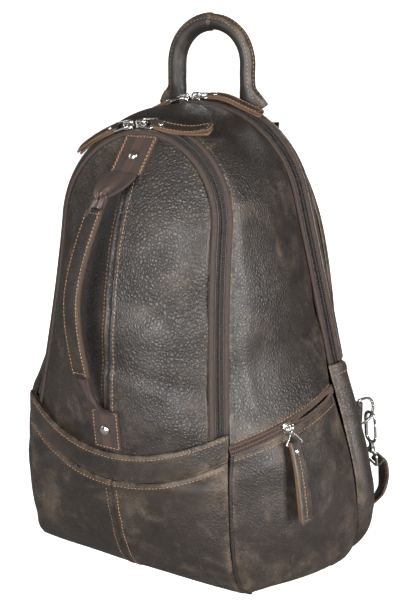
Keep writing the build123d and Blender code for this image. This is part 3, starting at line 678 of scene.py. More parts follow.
def weave(name, dark, light, pitch, sheen, rough, stripe=None):
    """Woven tape or cloth: crossing threads of pitch mm, with uneven dye and a soft sheen."""
    s = new_shader(name)
    run = s.node("Attribute", attribute_name="run", attribute_type="GEOMETRY").outputs["Vector"]
    along, across = s.node("SeparateXYZ", {0: run}).outputs[:2]
    waves = [s.calc("SINE", s.times(axis, 2 * pi / pitch)) for axis in (along, across)]
    thread = s.span(s.times(*waves), -1.0, 1.0)
    base = s.mixed(s.times(thread, s.span(s.noise(300.0), 0.3, 0.7, 0.4, 1.0)), dark, light)
    if stripe:
        half, colour = stripe
        inside = s.span(s.calc("ABSOLUTE", across), half - 0.3, half + 0.3, 1.0, 0.0)
        base = s.mixed(inside, base, colour)
        rough = s.calc("SUBTRACT", rough, s.times(inside, 0.42))
    return s.finish(base, rough, thread, 0.6, 0.00018, {"Sheen Weight": sheen})


def metal(name, colour, rough=0.16):
    """Plated metal with fine handling marks and duller patches."""
    s = new_shader(name)
    marks = s.noise(900.0, 5.0, where=s.stretched(1, 1, 6))
    dull = s.noise(220.0)
    base = s.mixed(s.span(dull, 0.45, 0.75, 0.0, 0.5), colour, tinted(colour, 0.55, 0.52, 0.48))
    shine = s.span(marks, 0.35, 0.75, rough, rough + 0.16)
    return s.finish(base, shine, dull, 0.15, 0.0002, {"Metallic": 1.0})


def matt(name, dark, light, scale):
    """Cloth, foam or board: an uneven matt surface."""
    s = new_shader(name)
    grain = s.noise(scale)
    return s.finish(s.mixed(s.span(grain, 0.35, 0.65), dark, light), 0.9, grain, 0.5, 0.0003)


def raw_edge(name, tone=1.0):
    """The cut edge and flesh side of the leather: tan, fibrous and matt."""
    s = new_shader(name)
    fibre = s.noise(1400.0, 6.0, 0.7, where=s.stretched(1, 3, 1))
    base = s.mixed(s.span(fibre, 0.3, 0.7), rgb(0.06, 0.034, 0.019, tone), rgb(0.17, 0.095, 0.05, tone))
    base = s.mixed(s.span(s.noise(160.0, 3.0), 0.4, 0.7, 0.0, 0.6), base, rgb(0.11, 0.07, 0.045, tone))
    return s.finish(base, 0.85, fibre, 0.8, 0.0003)


def thread(name, colour):
    """Waxed thread: twisted, and soiled in patches."""
    s = new_shader(name)
    twist = s.noise(2600.0, 2.0)
    base = s.mixed(s.span(twist, 0.35, 0.65), tinted(colour, 0.55, 0.5, 0.45), colour)
    base = s.mixed(s.span(s.noise(60.0), 0.45, 0.7, 0.0, 0.55), base, rgb(0.12, 0.075, 0.045))
    return s.finish(base, 0.6, twist, 0.5, 0.0002)


def nylon(name, colour, rough=0.35):
    """The zips' nylon coils, dusty in patches."""
    s = new_shader(name)
    dust = s.noise(500.0, 5.0)
    base = s.mixed(s.span(dust, 0.4, 0.75, 0.0, 0.5), colour, rgb(0.07, 0.055, 0.045))
    return s.finish(base, s.span(dust, 0.3, 0.7, rough, rough + 0.25), dust, 0.2, 0.0001)


GRAINED = leather("leather_grained", rgb(0.010, 0.007, 0.0055), rgb(0.026, 0.019, 0.015),
                  grain=1.0, cell=380.0, scuffs=0.9, rough=0.38)
SMOOTH = leather("leather_smooth", rgb(0.012, 0.0085, 0.0065), rgb(0.029, 0.021, 0.016),
                 grain=0.6, cell=430.0, scuffs=1.1, rough=0.42)
TRIM = leather("leather_trim", rgb(0.011, 0.008, 0.006), rgb(0.028, 0.020, 0.0155),
               grain=0.55, cell=460.0, scuffs=0.8, rough=0.38)
DARK = leather("leather_handle", rgb(0.008, 0.006, 0.005), rgb(0.018, 0.013, 0.010),
               grain=0.6, cell=520.0, scuffs=0.4, rough=0.42)
RAW = raw_edge("leather_raw_edge")
FLESH = raw_edge("leather_flesh", 1.4)
EDGE = raw_edge("leather_dyed_edge", 0.45)
THREAD = thread("thread_tan", rgb(0.36, 0.20, 0.10))
TAPE = weave("zip_tape_weave", rgb(0.030, 0.018, 0.014), rgb(0.070, 0.044, 0.034), 0.8, 0.04, 0.75)
WEBBING = weave("webbing_weave", rgb(0.022, 0.013, 0.010), rgb(0.052, 0.032, 0.025), 1.1, 0.04, 0.7,
                stripe=(4.2, rgb(0.062, 0.038, 0.030)))
LINING = weave("lining_weave", rgb(0.012, 0.010, 0.009), rgb(0.03, 0.026, 0.023), 0.6, 0.1, 0.85)
COIL = nylon("zip_coil_nylon", rgb(0.022, 0.018, 0.016))
COIL_BROWN = nylon("pocket_coil_nylon", rgb(0.085, 0.055, 0.042), 0.45)
RIVET = metal("rivet_nickel", rgb(0.62, 0.60, 0.57), 0.12)
NICKEL = metal("nickel", rgb(0.78, 0.76, 0.73))
CLOTH = matt("lining_cloth", rgb(0.014, 0.012, 0.011), rgb(0.035, 0.030, 0.027), 900.0)
FOAM = matt("foam", rgb(0.06, 0.058, 0.055), rgb(0.11, 0.105, 0.10), 700.0)
BOARD = matt("board", rgb(0.012, 0.012, 0.012), rgb(0.03, 0.03, 0.03), 250.0)


# ---- Body panels ---------------------------------------------------------------------
INNER = slice(1, -1)


def front_panel():
    """Both halves of the front, sewn down the middle behind the grip."""
    edge, _, _, normal = FRONT_ZIP.at(np.linspace(0.012, 1.0, 84), 0.4 - ZIP_HALF)
    edge = edge - normal * 0.9
    below = np.linspace(edge[-1, 2], 110, 12)[1:]
    tail = edge[-1] + (edge[-1, 2] - below)[:, None] * vec(0.05, -0.06, 0)
    tail[:, 2] = below
    edge = np.concatenate([edge, tail])
    zs = edge[:, 2]
    f = np.linspace(-1, 1, 97)
    p = front_point(edge[:, :1] * f, zs[:, None])
    p[..., 1] += (edge[:, 1] - p[:, -1, 1])[:, None] * np.abs(f) ** 5
    x, z = p[..., 0], p[..., 2]
    seam = 0.9 * ridge(np.abs(x) - 2.6, 1.7) - 1.1 * ridge(x, 1.0)
    slack = 1.2 * ridge(z - 222 - 0.10 * x, 14) - 1.2 * ridge(z - 196 + 0.2 * x, 9)
    slack -= 1.6 * ridge(z - 243 - 0.12 * x, 13) * smoothstep(-20, 40, x)
    slack += 0.45 * creases(p * vec(1, 1, 1.7), 60, 3.1) * smoothstep(330, 250, z)
    top, n = panel("front_panel", p, GRAINED, ("front_panel_left", "front_panel_right"), INSIDE, ("cols",),
                   roll=3.0, lumps=0.9, lump_size=48, seed=1.0, extra=seam + slack, slot="grained_leather")
    for offset in (-5.2, 5.2):
        near = np.arange(len(zs)), np.abs(x - offset).argmin(axis=1)
        start = zs[(np.abs(x[near] - offset) < 1.6) & (zs < 372)][0]
        at = np.linspace(start, 122, 260)
        rise = np.interp(-at, -zs, ((top - p)[near] * n[near]).sum(axis=1))
        normals = resampled(-at, -zs, n[near])
        stitch(threads, front_point(offset, at, 0.35) + normals * (rise - 0.3)[:, None], normals, 0.0)


def gusset():
    """The strip between the two big zips, which runs down to the side pockets' zips."""
    us = np.linspace(-0.9, 0.9, 261)
    t = np.linspace(0, 1, 49)
    a, _, _, na = FRONT_ZIP.at(us, ZIP_HALF + 0.5)
    b, _, _, nb = MAIN_ZIP.at(us, -ZIP_HALF - 0.5)
    bulge = unit(na + nb) * lerp(5, 11, np.minimum(1, np.abs(us) * 1.5))[:, None]
    body = lerp(a[:, None], b[:, None], t[:, None]) + bulge[:, None] * (4 * t * (1 - t))[:, None]
    q, _, down, _ = pocket_zip_at(lerp(0.02, 0.985, t))
    last = q - down * (POCKET_ZIP_HALF + 0.3)
    w = np.linspace(0, 1, 17)[1:, None, None]

    def tail(row, before, end):
        start = (row - before) * 2.2
        return row * (1 - w) ** 2 * (1 + 2 * w) + end * w ** 2 * (3 - 2 * w) + start * 4 * w * (1 - w) ** 2

    left = tail(body[0], body[1], *on_side(-1, last))[::-1]
    p = np.concatenate([left, body, tail(body[-1], body[-2], last)])
    y, z = p[..., 1], p[..., 2]
    slack = creases(p * vec(1, 1, 0.55), 75, 7.7) * smoothstep(390, 330, z)
    slack -= 1.6 * ridge(z - 215 - 0.35 * y, 15)
    surface = panel("gusset", p, GRAINED, ("gusset_left", "gusset_right"), INSIDE, roll=2.6, lumps=1.3,
                    lump_size=60, seed=4.0, extra=slack, slot="grained_leather")
    sew(surface, (2, INNER), (-3, INNER))


def side_pocket_rows(t):
    """The side pocket's surface as rows of points, from its zip down to the base."""
    q, _, down, _ = pocket_zip_at(lerp(0.01, 0.985, t))
    t = t[:, None]
    rows = [q + down * (POCKET_ZIP_HALF + 0.4)]
    for z, front, rear, bulge in (
            (100, (103.2, -79.5), (155.5, 34.5), 15),
            (60, (104.2, -78.5), (163.5, 34), 16),
            (28, (105.3, -74.5), (164.5, 33.5), 14),
            (10, (107.3, -68), (158, 31), 11)):
        a, b = vec(*front, z), vec(*rear, z + 2)
        out = unit(vec(b[1] - a[1], a[0] - b[0], 0))
        rows.append(lerp(a, b, t) + out * bulge * 4 * t * (1 - t))
    rows.append(lerp(vec(110, -56, 0.3), vec(146, 26, 0.3), t))
    return rows


def side_pocket(side, flip, seed):
    t = np.linspace(0, 1, 81)
    p, = on_side(flip, curve(side_pocket_rows(t), np.linspace(0, 1, 121)))
    y, z = p[..., 1], p[..., 2]
    inside = vec(60 * flip, -10, 70)
    folds = 1.4 * ridge(z - 118, 16) * smoothstep(0, 0.25, t) * smoothstep(1, 0.75, t)
    folds += 0.9 * creases(p * vec(1, 0.8, 1.1), 70, seed) * smoothstep(8, 40, z)
    folds -= ridge(z - 40 - y * 0.3, 12)
    surface = panel(f"side_pocket_leather_{side}", p, SMOOTH, (f"side_pocket_{side}",), inside,
                    roll=3.0, lumps=1.5, lump_size=52, seed=seed, extra=folds)
    sew(surface, (3, INNER))
    for end, col in (("front", 0), ("rear", -1)):
        seam_welt(f"side_pocket_seam_{end}_{side}", p[:, col], inside)


def seam_welt(name, line, inside, depth=1.6, radius=1.9):
    """A soft dark cord of turned leather that closes the valley between two panels."""
    line = even(line, 90)
    line = line - unit((line - inside) * vec(1, 1, 0)) * depth
    attach(make_mesh(name, *tube(line, radius), DARK), BAG, "smooth_leather")


def slip_pocket():
    """The trim band on the slip pocket's rim, and the panel below it."""
    inside = vec(0, -10, 120)
    f = np.linspace(-1, 1, 121)
    rim, low = pocket_w(f, RIM_Z, RIM_DIP), pocket_w(f, TRIM_Z, TRIM_DIP)
    p = pocket_point(f, lerp(rim, low, np.linspace(0, 1, 15)[:, None]))
    surface = panel("pocket_trim_leather", p, TRIM, ("pocket_trim",), inside,
                    thick=2.4, lumps=0.5, lump_size=40, seed=31.0, extra=0.9)
    sew(surface, (2, INNER))
    p = pocket_point(f, lerp(low + 0.004, 1.0, np.linspace(0, 1, 91)[:, None]))
    x, z = p[..., 0], p[..., 2]
    seam = 0.8 * ridge(np.abs(x) - 2.8, 1.8) - 1.2 * ridge(x, 1.0)
    folds = 0.8 * creases(p * vec(0.8, 1, 1.5), 66, 41.0) * smoothstep(5, 30, z)
    surface = panel("pocket_panel", p, SMOOTH, ("pocket_panel_left", "pocket_panel_right"), inside,
                    roll=2.6, lumps=1.4, lump_size=58, seed=37.0, extra=seam + folds)
    middle = len(f) // 2
    down = slice(4, 76)
    sew(surface, (2, INNER), (down, middle - 3), (down, middle + 3))


REAR_OUTLINE = ((134.5, 0, 180), (152, 0, 127), (165, 0, 75), (164, 0, 32), (140, 0, 4), (105, 0, 0.4))


def rear_bands():
    """The puffed lower band behind each side pocket, and the flat one under the base."""
    k = np.linspace(0, 1, 97)
    line = curve(REAR_OUTLINE, k)
    along = tangents(line)
    out = np.stack([-along[:, 2], 0 * k, along[:, 0]], axis=1)
    y = np.linspace(36.5, BACK_Y + 1.5, 25)
    t = np.linspace(0, 1, 25)
    rise = (7.5 * np.sin(pi * t ** 0.85) - 2.4 - 1.2 * t) * smoothstep(1.02, 0.72, k)[:, None]
    band = line[:, None] + out[:, None] * rise[..., None]
    band[..., 1] = y
    band[..., 2] = np.maximum(band[..., 2], 0.3)
    for (side, flip), seed, nodes in zip(SIDES, (51.0, 53.0), (("rear_band_lower",), ())):
        p, = on_side(flip, band)
        folds = 0.8 * creases(p * vec(1, 0.6, 1), 40, seed) * smoothstep(5, 30, p[..., 2])
        surface = panel(f"rear_band_{side}", p, SMOOTH, nodes, vec(60 * flip, 50, 120), roll=3.0, thick=2.0,
                        lumps=1.0, lump_size=30, seed=seed, extra=folds, slot="grained_leather")
        sew(surface, (3, INNER))
    flat = points_of(np.linspace(-105, 105, 41)[:, None], y, 0.35)
    panel("rear_band_under", flat, SMOOTH, (), vec(0, 50, 100), (), roll=1.0, slot="grained_leather")


def rear_band_upper():
    """The strip between the main zip and the back panel."""
    near, _, _, normal = MAIN_ZIP.at(np.linspace(-0.945, 0.945, 201), ZIP_HALF + 0.5)
    back = near.copy()
    back[:, 1] = BACK_Y + 1.5
    back -= normal * vec(3, 0, 3)
    t = np.linspace(0, 1, 17)[:, None]
    p = lerp(near[:, None], back[:, None], t) + normal[:, None] * 1.8 * 4 * t * (1 - t)
    panel("rear_band_upper_leather", p, TRIM, ("rear_band_upper",), INSIDE,
          lumps=0.7, lump_size=35, seed=57.0)


def back_panel():
    """The padded back: four quilting lines pressed into it."""
    low = curve(REAR_OUTLINE, np.linspace(0.93, 0.02, 50))
    rim = np.concatenate([low, MAIN_ZIP.at(np.linspace(0.9, 0.004, 60))[0]])
    rising = np.concatenate([[True], np.diff(np.maximum.accumulate(rim[:, 2])) > 0])
    rim = rim[rising]
    turn = np.linspace(0.5 * pi, -0.5 * pi, 111)
    zs = 4 + (rim[-1, 2] - 7) * (1 - np.sin(turn)) / 2
    half = np.interp(zs, rim[:, 2], rim[:, 0] - 3.2)[:, None]
    p = points_of(half * np.linspace(-1, 1, 101), BACK_Y + 1.0, zs[:, None])
    x, z = p[..., 0], p[..., 2]
    quilt = sum(3.6 * ridge(x - at * (0.72 + z / 900), 4.5) for at in (-46, 46))
    quilt += sum(3.4 * ridge(z - at - 0.0012 * x ** 2, 4.5) for at in (118, 236))
    far = edge_distance(p)
    pad = 5.2 * smoothstep(0, 22, far) - quilt * smoothstep(10, 30, far)
    panel("back_panel_leather", p, SMOOTH, ("back_panel",), INSIDE, roll=2.5, thick=2.0, lumps=0.7, seed=61.0,
          extra=pad)


def base():
    """The flat panel the bag stands on."""
    y = np.linspace(-56, 36, 31)[:, None]
    half = np.interp(y, (-56, 25, 36), (108.5, 144, 144))
    p = points_of(half * np.linspace(-1, 1, 61), y, 0.3)
    panel("base_panel_leather", p, TRIM, ("base_panel",), vec(0, 0, 100), roll=1.0)


# ---- Zips ----------------------------------------------------------------------------
TAPE_PROFILE = ((8.4, -1.6), (8.5, -0.2), (8.1, 0.55), (7.2, 0.95), (6.0, 1.05), (5.0, 0.9), (4.3, 0.45),
                (3.9, -0.15), (2.4, -0.35), (1.1, -0.35), (1.0, -1.0), (4.0, -1.4))
POCKET_TAPE_PROFILE = ((4.9, -1.7), (5.0, -0.9), (3.6, -0.5), (1.1, -0.5), (1.0, -1.1), (3.0, -1.6))
CORD_PROFILE = [(0.55 * cos(a), 0.35 + 0.45 * sin(a)) for a in np.linspace(0, 2 * pi, 7)[:-1]]
CORD_OFFSET, TOOTH_LIFT, TOOTH_TALL = 3.5, 0.75, 1.25
TOOTH_PITCH = 1.5
# One turn of the zip's coil: a rounded bar across the zip that ends in a fat head.
TOOTH = spun(((-0.55, 0.3, 0.25), (-0.45, 0.55, 0.6), (0.1, 0.62, 0.62), (0.8, 0.40, 0.5), (2.4, 0.40, 0.5),
              (2.9, 0.42, 0.55), (3.1, 0.2, 0.3)), 6, (1, 0, 2))


def zip_line(name, at, low, high, profile, teeth, nylon_used, nodes, apart=None):
    """Tapes, cords and coil along a zip. apart gives how far its two rows part along it."""
    u = np.linspace(low, high, 241)
    p, t, b, n = at(u)
    part = apart(u)[:, None] if apart else 0.0
    for end, side in (("in", -1), ("out", 1)):
        path = p + b * side * part
        tape = sweep(f"{name}_tape_{end}", path, b * side, n, profile, TAPE)
        attach(tape, BAG, "zip_tape", *(nodes if end == "in" else ()))
        cord = path + b * side * CORD_OFFSET
        cord = sweep(f"{name}_cord_{end}", cord, b * side, n, CORD_PROFILE, nylon_used)
        attach(cord, BAG, "coil")
        run = distances(path)
        at_run = (np.arange(int(run[-1] / TOOTH_PITCH)) + 0.5 + 0.25 * side) * TOOTH_PITCH
        at_run = at_run[at_run < run[-1]]
        for c, tt, bb, nn in zip(*(resampled(at_run, run, v) for v in (path, t, b * side, n))):
            teeth.add(TOOTH, c + nn * TOOTH_LIFT, tt, nn * TOOTH_TALL, bb)


def pocket_gap(t):
    """The right side zip is a little open behind its slider."""
    return 1.9 * smoothstep(0.48, 0.62, t) * smoothstep(0.97, 0.85, t)


def zips():
    coils, pocket_coils = Batch(), Batch()
    zip_line("front_zip", FRONT_ZIP.at, -1.04, 1.04, TAPE_PROFILE, coils, COIL, ("front_zip_tapes",))
    zip_line("main_zip", MAIN_ZIP.at, -0.965, 0.965, TAPE_PROFILE, coils, COIL, ("main_zip_tapes",))
    for (side, flip), nodes, gap in zip(SIDES, (("pocket_zip_tapes",), ()), (pocket_gap, None)):
        zip_line(f"pocket_zip_{side}", lambda t: on_side(flip, *pocket_zip_at(t)), 0.005, 0.995,
                 POCKET_TAPE_PROFILE, pocket_coils, COIL_BROWN, nodes, gap)
        p, _, across, normal = on_side(flip, *pocket_zip_at(np.linspace(0.0, 1.0, 41)))
        lining = rounded(7.5, 0.4, 0.3, 1)
        behind = sweep(f"pocket_lining_{side}", p - normal * 4.5, across, normal, lining, LINING)
        attach(behind, BAG, "lining")
    coils.build("zip_coils_teeth", COIL, BAG, "coil", "zip_coils")
    pocket_coils.build("pocket_zip_coils_teeth", COIL_BROWN, BAG, "coil")


# ---- Sliders, bails and pulls --------------------------------------------------------
BAIL_HEIGHT, BAR_HEIGHT = 4.6, 6.6
BAIL_LONG, BAIL_WIDE, BAIL_WIRE = 13.0, 12.0, 0.85
PULL_LONG, PULL_HALF = 51.8, 4.9
POCKET_PULL_LONG, POCKET_PULL_HALF = 65.8, 6.0
BAIL_DROP, PULL_DROP, POCKET_LEAN = 5.0, 6.0, 14.0
LAYER_GAP, PULL_THICK, PULL_RIVET_AT = 0.95, 1.6, 6.0
PULL_RIVET, GRIP_RIVET = (2.3, 1.1), (4.5, 2.3)
POCKET_SLIDERS = {"right": 0.43, "left": 0.78}


def metal_piece(name, shapes, node, *place, body=None):
    """Nickel shapes joined in one piece, for the CAD node and body of one name."""
    parts = Batch()
    for shape in shapes:
        parts.add(shape, *place)
    parts.build(name, NICKEL, body or node, "nickel", node)


def slider(name, *place):
    """A cast slider: two plates joined by a blade, a bridge that holds the bail, two rails."""
    arch = [(-4.7, 0, 2.8), (-4.1, 0, BAR_HEIGHT), (4.1, 0, BAR_HEIGHT), (4.7, 0, 2.8)]
    bridge, bridge_faces = tube(round_corners(arch, 1.6, closed=False), 0.75)
    rail, rail_faces = slab(slot_outline(9.0, 1.0), -0.4, 2.4, 0.2)
    shapes = [slab(slot_outline(11.0, 8.0, 0.22), 2.0, 3.4, 0.5),
              slab(slot_outline(11.0, 7.6, 0.15), -2.9, -1.9, 0.3),
              slab(slot_outline(3.2, 1.1), -2.0, 2.2, 0.1),
              (bridge * vec(1, 1.7, 1), bridge_faces)]
    shapes += [(rail + vec(0, y, 0), rail_faces) for y in (-3.3, 3.3)]
    metal_piece(f"{name}_slider_body", shapes, f"{name}_slider", *place)


def bail(name, hinge, ahead, up, hanging):
    """The wire loop between the slider's bridge and the leather pull. A hanging one is a
    triangle on a small ring."""
    half = POCKET_PULL_HALF + 3 if hanging else BAIL_WIDE / 2
    far = [(BAIL_LONG, -half, 0), (BAIL_LONG, half, 0)]
    shapes = []
    if hanging:
        a = np.linspace(0, 2 * pi, 19)[:-1]
        shapes.append(tube(2.2 * np.column_stack([np.cos(a), 0 * a, np.sin(a)]), 0.8, closed=True))
        corners = [(2.6, 0, 0)] + far
    else:
        corners = [(0, 1.5 - half, 0)] + far + [(0, half - 1.5, 0)]
    shapes.append(tube(round_corners(corners, 2.0), BAIL_WIRE, closed=True))
    metal_piece(f"{name}_bail_wire", shapes, f"{name}_bail", hinge, ahead, up)


def pull(name, origin, ahead, up, bend, split, seed, long=PULL_LONG, wide=PULL_HALF):
    """A leather strip folded over the bail's far bar. bend gives its height along its
    length, and split how far its two layers stand apart at the tip."""
    fold = np.linspace(-pi / 2, pi / 2, 9)[1:-1]
    run = np.linspace(0, 1, 34) ** 0.9
    gap = LAYER_GAP + split * smoothstep(0.45, 1.0, run) ** 1.5
    x = run * long
    low = np.column_stack([x * 0.975, 0.8 * np.sin(run * 5 + seed), bend(x) - gap])[:0:-1]
    top = np.column_stack([x, 0.5 * np.sin(run * 4 + seed), bend(x) + gap * 0.95])[1:]
    turn = np.column_stack([-1.6 * np.cos(fold), 0 * fold, LAYER_GAP * np.sin(fold)])
    path = np.concatenate([low, turn, top])
    out = np.concatenate([0 * low - vec(0, 0, 1), turn / vec(1.6, 1, LAYER_GAP), 0 * top + vec(0, 0, 1)])
    tip = np.abs(np.linspace(-1, 1, len(path)))
    half = wide - 1.9 * smoothstep(0.955, 1.0, tip) ** 2 - 0.5 * smoothstep(0.3, 0.0, tip)
    obj, line = strip(f"{name}_pull_leather", placed(path, origin, ahead, up), placed(out, 0, ahead, up),
                      half, PULL_THICK, (TRIM, RAW, FLESH), bevel=0.35, across=7)
    attach(obj, f"{name}_pull", "pull_leather", f"{name}_pull")
    sewn = Batch()
    for offset in ((-3.5, 3.5) if wide == PULL_HALF else (0.0,)):
        for part in (slice(3, 31), slice(-31, -3)):
            sew_strip(sewn, line, (offset,), part, 0.1, 2.9)
    sew_across(sewn, line, -3, np.cross(up, ahead), 3.4, 5, 0.1, 2.6)
    sewn.build(f"{name}_pull_stitching", THREAD, f"{name}_pull", "pull_leather")
    rivets = Batch()
    for way in (1, -1):
        height = way * (LAYER_GAP + PULL_THICK / 2) + bend(PULL_RIVET_AT)
        rivets.add(dome(*PULL_RIVET), origin + ahead * PULL_RIVET_AT + up * height, ahead, up * way)
    rivets.build(f"{name}_pull_rivet", NICKEL, f"{name}_pull", "nickel")


def zip_set(name, point, along, normal, height, way, drop, pull_drop, *shape):
    """A slider with its bail, which points along way, and the pull at the bail's end."""
    slider(name, point, along, normal)
    hinge = point + normal * height
    axis = np.cross(normal, way)
    ahead, up = turned(way, axis, drop), turned(normal, axis, drop)
    bail(name, hinge, ahead, up, height == BAR_HEIGHT)
    far = hinge + ahead * BAIL_LONG
    pull(name, far, turned(ahead, axis, pull_drop), turned(up, axis, pull_drop), *shape)


def hug(x):
    """A pull that lies along the arch."""
    return -0.0028 * x ** 2


def rest_on(x):
    """A stiff pull that bends down a little."""
    return -0.0012 * x ** 2


def wavy(x):
    """A stiff pull that sags a little and lifts at its tip."""
    return -2.2 * np.sin(pi * x / PULL_LONG * 0.9) + 5.0 * (x / PULL_LONG) ** 3


def kinked(x):
    """A pull with a crease, bent down past it."""
    return 1.5 * np.sin(pi * np.clip(x / 24, 0, 1)) - 0.32 * np.maximum(x - 24, 0)


def hang(x):
    """A long pull that hangs almost straight."""
    return 1.2 * np.sin(pi * x / POCKET_PULL_LONG) - 5.0 * (x / POCKET_PULL_LONG) ** 2


def zip_sets():
    """The six sliders with their bails and pulls."""
    # name, zip line, degrees right of the top, way it points, shape of its pull, split
    for name, ring, angle, way, *shape in (
            ("front_zip_left", FRONT_ZIP, -11.4, -1, hug, 0.3),
            ("front_zip_right", FRONT_ZIP, -2.7, 1, wavy, 1.7),
            ("main_zip_left", MAIN_ZIP, -10.7, -1, rest_on, 0.3),
            ("main_zip_right", MAIN_ZIP, -3.7, 1, kinked, 0.4)):
        point, along, _, normal = (v[0] for v in ring.at(radians(angle) * ring.radius / ring.length))
        zip_set(name, point, along, normal, BAIL_HEIGHT, along * way, BAIL_DROP, PULL_DROP, *shape, angle)
    for side, flip in SIDES:
        point, along, _, normal = (v[0] for v in on_side(flip, *pocket_zip_at(POCKET_SLIDERS[side])))
        down = unit(normal * normal[2] - vec(0, 0, 1))
        zip_set(f"pocket_zip_{side}", point, along, normal, BAR_HEIGHT, down, -POCKET_LEAN, 0.0, hang, 0.3,
                flip, POCKET_PULL_LONG, POCKET_PULL_HALF)


# ---- Top handle ----------------------------------------------------------------------
HANDLE_Y, HANDLE_LOW, HANDLE_HALF, LEG_HIGH = 59.5, 403.0, 36.0, 27.0
HANDLE_R, TAB_HALF, TAB_DEEP, FOOT_X = 7.4, 12.5, 3.4, 46
SEAM_ANGLE, HANDLE_SIDES = 3.9, 28
SEWN_COLUMNS = (15, 19)                # on both sides of the seam


def handle_path():
    """The middle line of the handle: two legs that lean on the band, and a half circle."""
    middle = HANDLE_LOW + LEG_HIGH
    a = np.linspace(-pi / 2, pi / 2, 41)[1:-1]
    bow = np.column_stack([HANDLE_HALF * np.sin(a), HANDLE_Y + 0 * a, middle + HANDLE_HALF * np.cos(a)])
    foot_z = MAIN_ZIP.centre_z + sqrt((MAIN_ZIP.radius + 1.5) ** 2 - FOOT_X ** 2)
    leg = curve([(FOOT_X, 61, foot_z), (41, 59, HANDLE_LOW - 6),
                 (HANDLE_HALF + 0.8, HANDLE_Y + 0.3, HANDLE_LOW + 4),
                 (HANDLE_HALF, HANDLE_Y, HANDLE_LOW + 15), (HANDLE_HALF, HANDLE_Y, middle)],
                np.linspace(0, 1, 33))
    return even(np.concatenate([leg * vec(-1, 1, 1), bow, leg[::-1]]), 150)


def top_handle():
    """A rolled leather loop whose ends flare into tabs sewn to the band behind the zip."""
    path = handle_path()
    thick = HANDLE_R * np.where(path[:, 0] < 0, 1.08, 0.92)
    flare = smoothstep(HANDLE_LOW + 11, HANDLE_LOW - 9, path[:, 2])
    wide, deep = (lerp(thick, tab, flare)[:, None] for tab in (TAB_HALF, TAB_DEEP))
    t = tangents(path)
    depth = unit(vec(0, 1, 0) - t * t[:, 1:2])
    out = unit(np.cross(depth, t))
    # the rolled leather meets in a raised seam along the front of the loop's outer side
    angle = 2 * pi * np.arange(HANDLE_SIDES) / HANDLE_SIDES
    seam = 0.9 * ridge(angle - SEAM_ANGLE, 0.16)
    groove = 0.5 * (ridge(angle - SEAM_ANGLE + 0.35, 0.12) + ridge(angle - SEAM_ANGLE - 0.35, 0.12))
    lumps = 0.03 * ripple(path[:, None] + out[:, None] * np.cos(angle)[:, None] * 7, 16, 71.0)
    scale = 1 + (seam - groove) / HANDLE_R + lumps
    points = (path[:, None] + out[:, None] * (wide * np.cos(angle) * scale)[..., None]
              + depth[:, None] * (deep * np.sin(angle) * scale)[..., None])
    faces = tube_faces(len(path), HANDLE_SIDES)
    leather_loop = make_mesh("top_handle_leather", points.reshape(-1, 3), faces, DARK)
    set_wear(leather_loop, np.tile(ridge(angle - SEAM_ANGLE, 0.3), len(path)))
    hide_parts("top_handle", "top_handle_tabs")
    sewn = Batch()
    for k in SEWN_COLUMNS:
        around = out * np.cos(angle[k]) + depth * np.sin(angle[k])
        stitch(sewn, points[8:-8, k], unit(around)[8:-8], 0.0, 3.6)
    ends = np.round((np.linspace(0.15, 0.85, 9) + 1) / 2 * HANDLE_SIDES).astype(int) % HANDLE_SIDES
    for row in (3, -4):
        stitch(sewn, points[row, ends], unit(points[row, ends] - path[row]), 0.0, 2.8)
    for obj in (leather_loop, sewn.mesh("top_handle_stitching", THREAD)):
        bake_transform(obj)


# ---- Front grip ----------------------------------------------------------------------
GRIP_LINE = ((-2, -84, 343), (-8, -105, 320), (-14, -128, 256), (-8, -127, 194), (-3, -116, 167))
GRIP_LINE = even(curve(GRIP_LINE, np.linspace(0, 1, 200)), 400)
GRIP_HALF, GRIP_THICK, GRIP_OUT = 9.6, 3.2, (-0.25, -1, 0.1)


def grip_at(t):
    return resampled(t, np.linspace(0, 1, len(GRIP_LINE)), GRIP_LINE)


def webbing_patch(name, nodes, centre_x, z_top, z_low, half, slant, rows):
    """A square of webbing, sewn to the front with a box of stitches, in rows at its sides."""
    v = np.linspace(0, 1, 21)[:, None]
    f = np.linspace(-1, 1, 31)
    p = front_point(centre_x + f * half + slant * (v - 0.5), lerp(z_top, z_low, v), 2.2)
    both_layers = np.zeros((2, 1, 1))
    surface = panel(name, p, WEBBING, nodes, INSIDE, roll=1.0, lumps=0.15, lump_size=14, seed=81.0,
                    slot="webbing", run=((1 - v) * (z_top - z_low), f * half, both_layers))
    for inset in rows:
        down = slice(inset, -inset)
        sew(surface, (down, inset + 1), (down, -inset - 2), pitch=3.0)
    across = slice(2, -2)
    sew(surface, (1, across), (-2, across), pitch=3.0)


def webbing_tail(name, nodes, ends, twist, wide):
    """The webbing comes out from under its patch, twists into a fold and enters the grip."""
    s = np.linspace(0, 1, 41)
    hump = np.sin(pi * s)
    path = curve(ends, s)
    up = np.column_stack([np.sin(twist * hump) - 0.05, -np.cos(twist * hump), 0.35 * (1 - s)])
    half = lerp(wide, 6.8, smoothstep(0.0, 0.55, s)) - 1.8 * hump ** 2

    def folds(along, across):
        return 1.3 * np.sin(pi * along) * np.cos(across * 7.0)

    obj, _ = strip(name, path, up, half, 1.9, (WEBBING, WEBBING), 0.3 * hump, 0.5, 15, folds)
    if nodes:
        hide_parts(*nodes)
    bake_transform(obj)


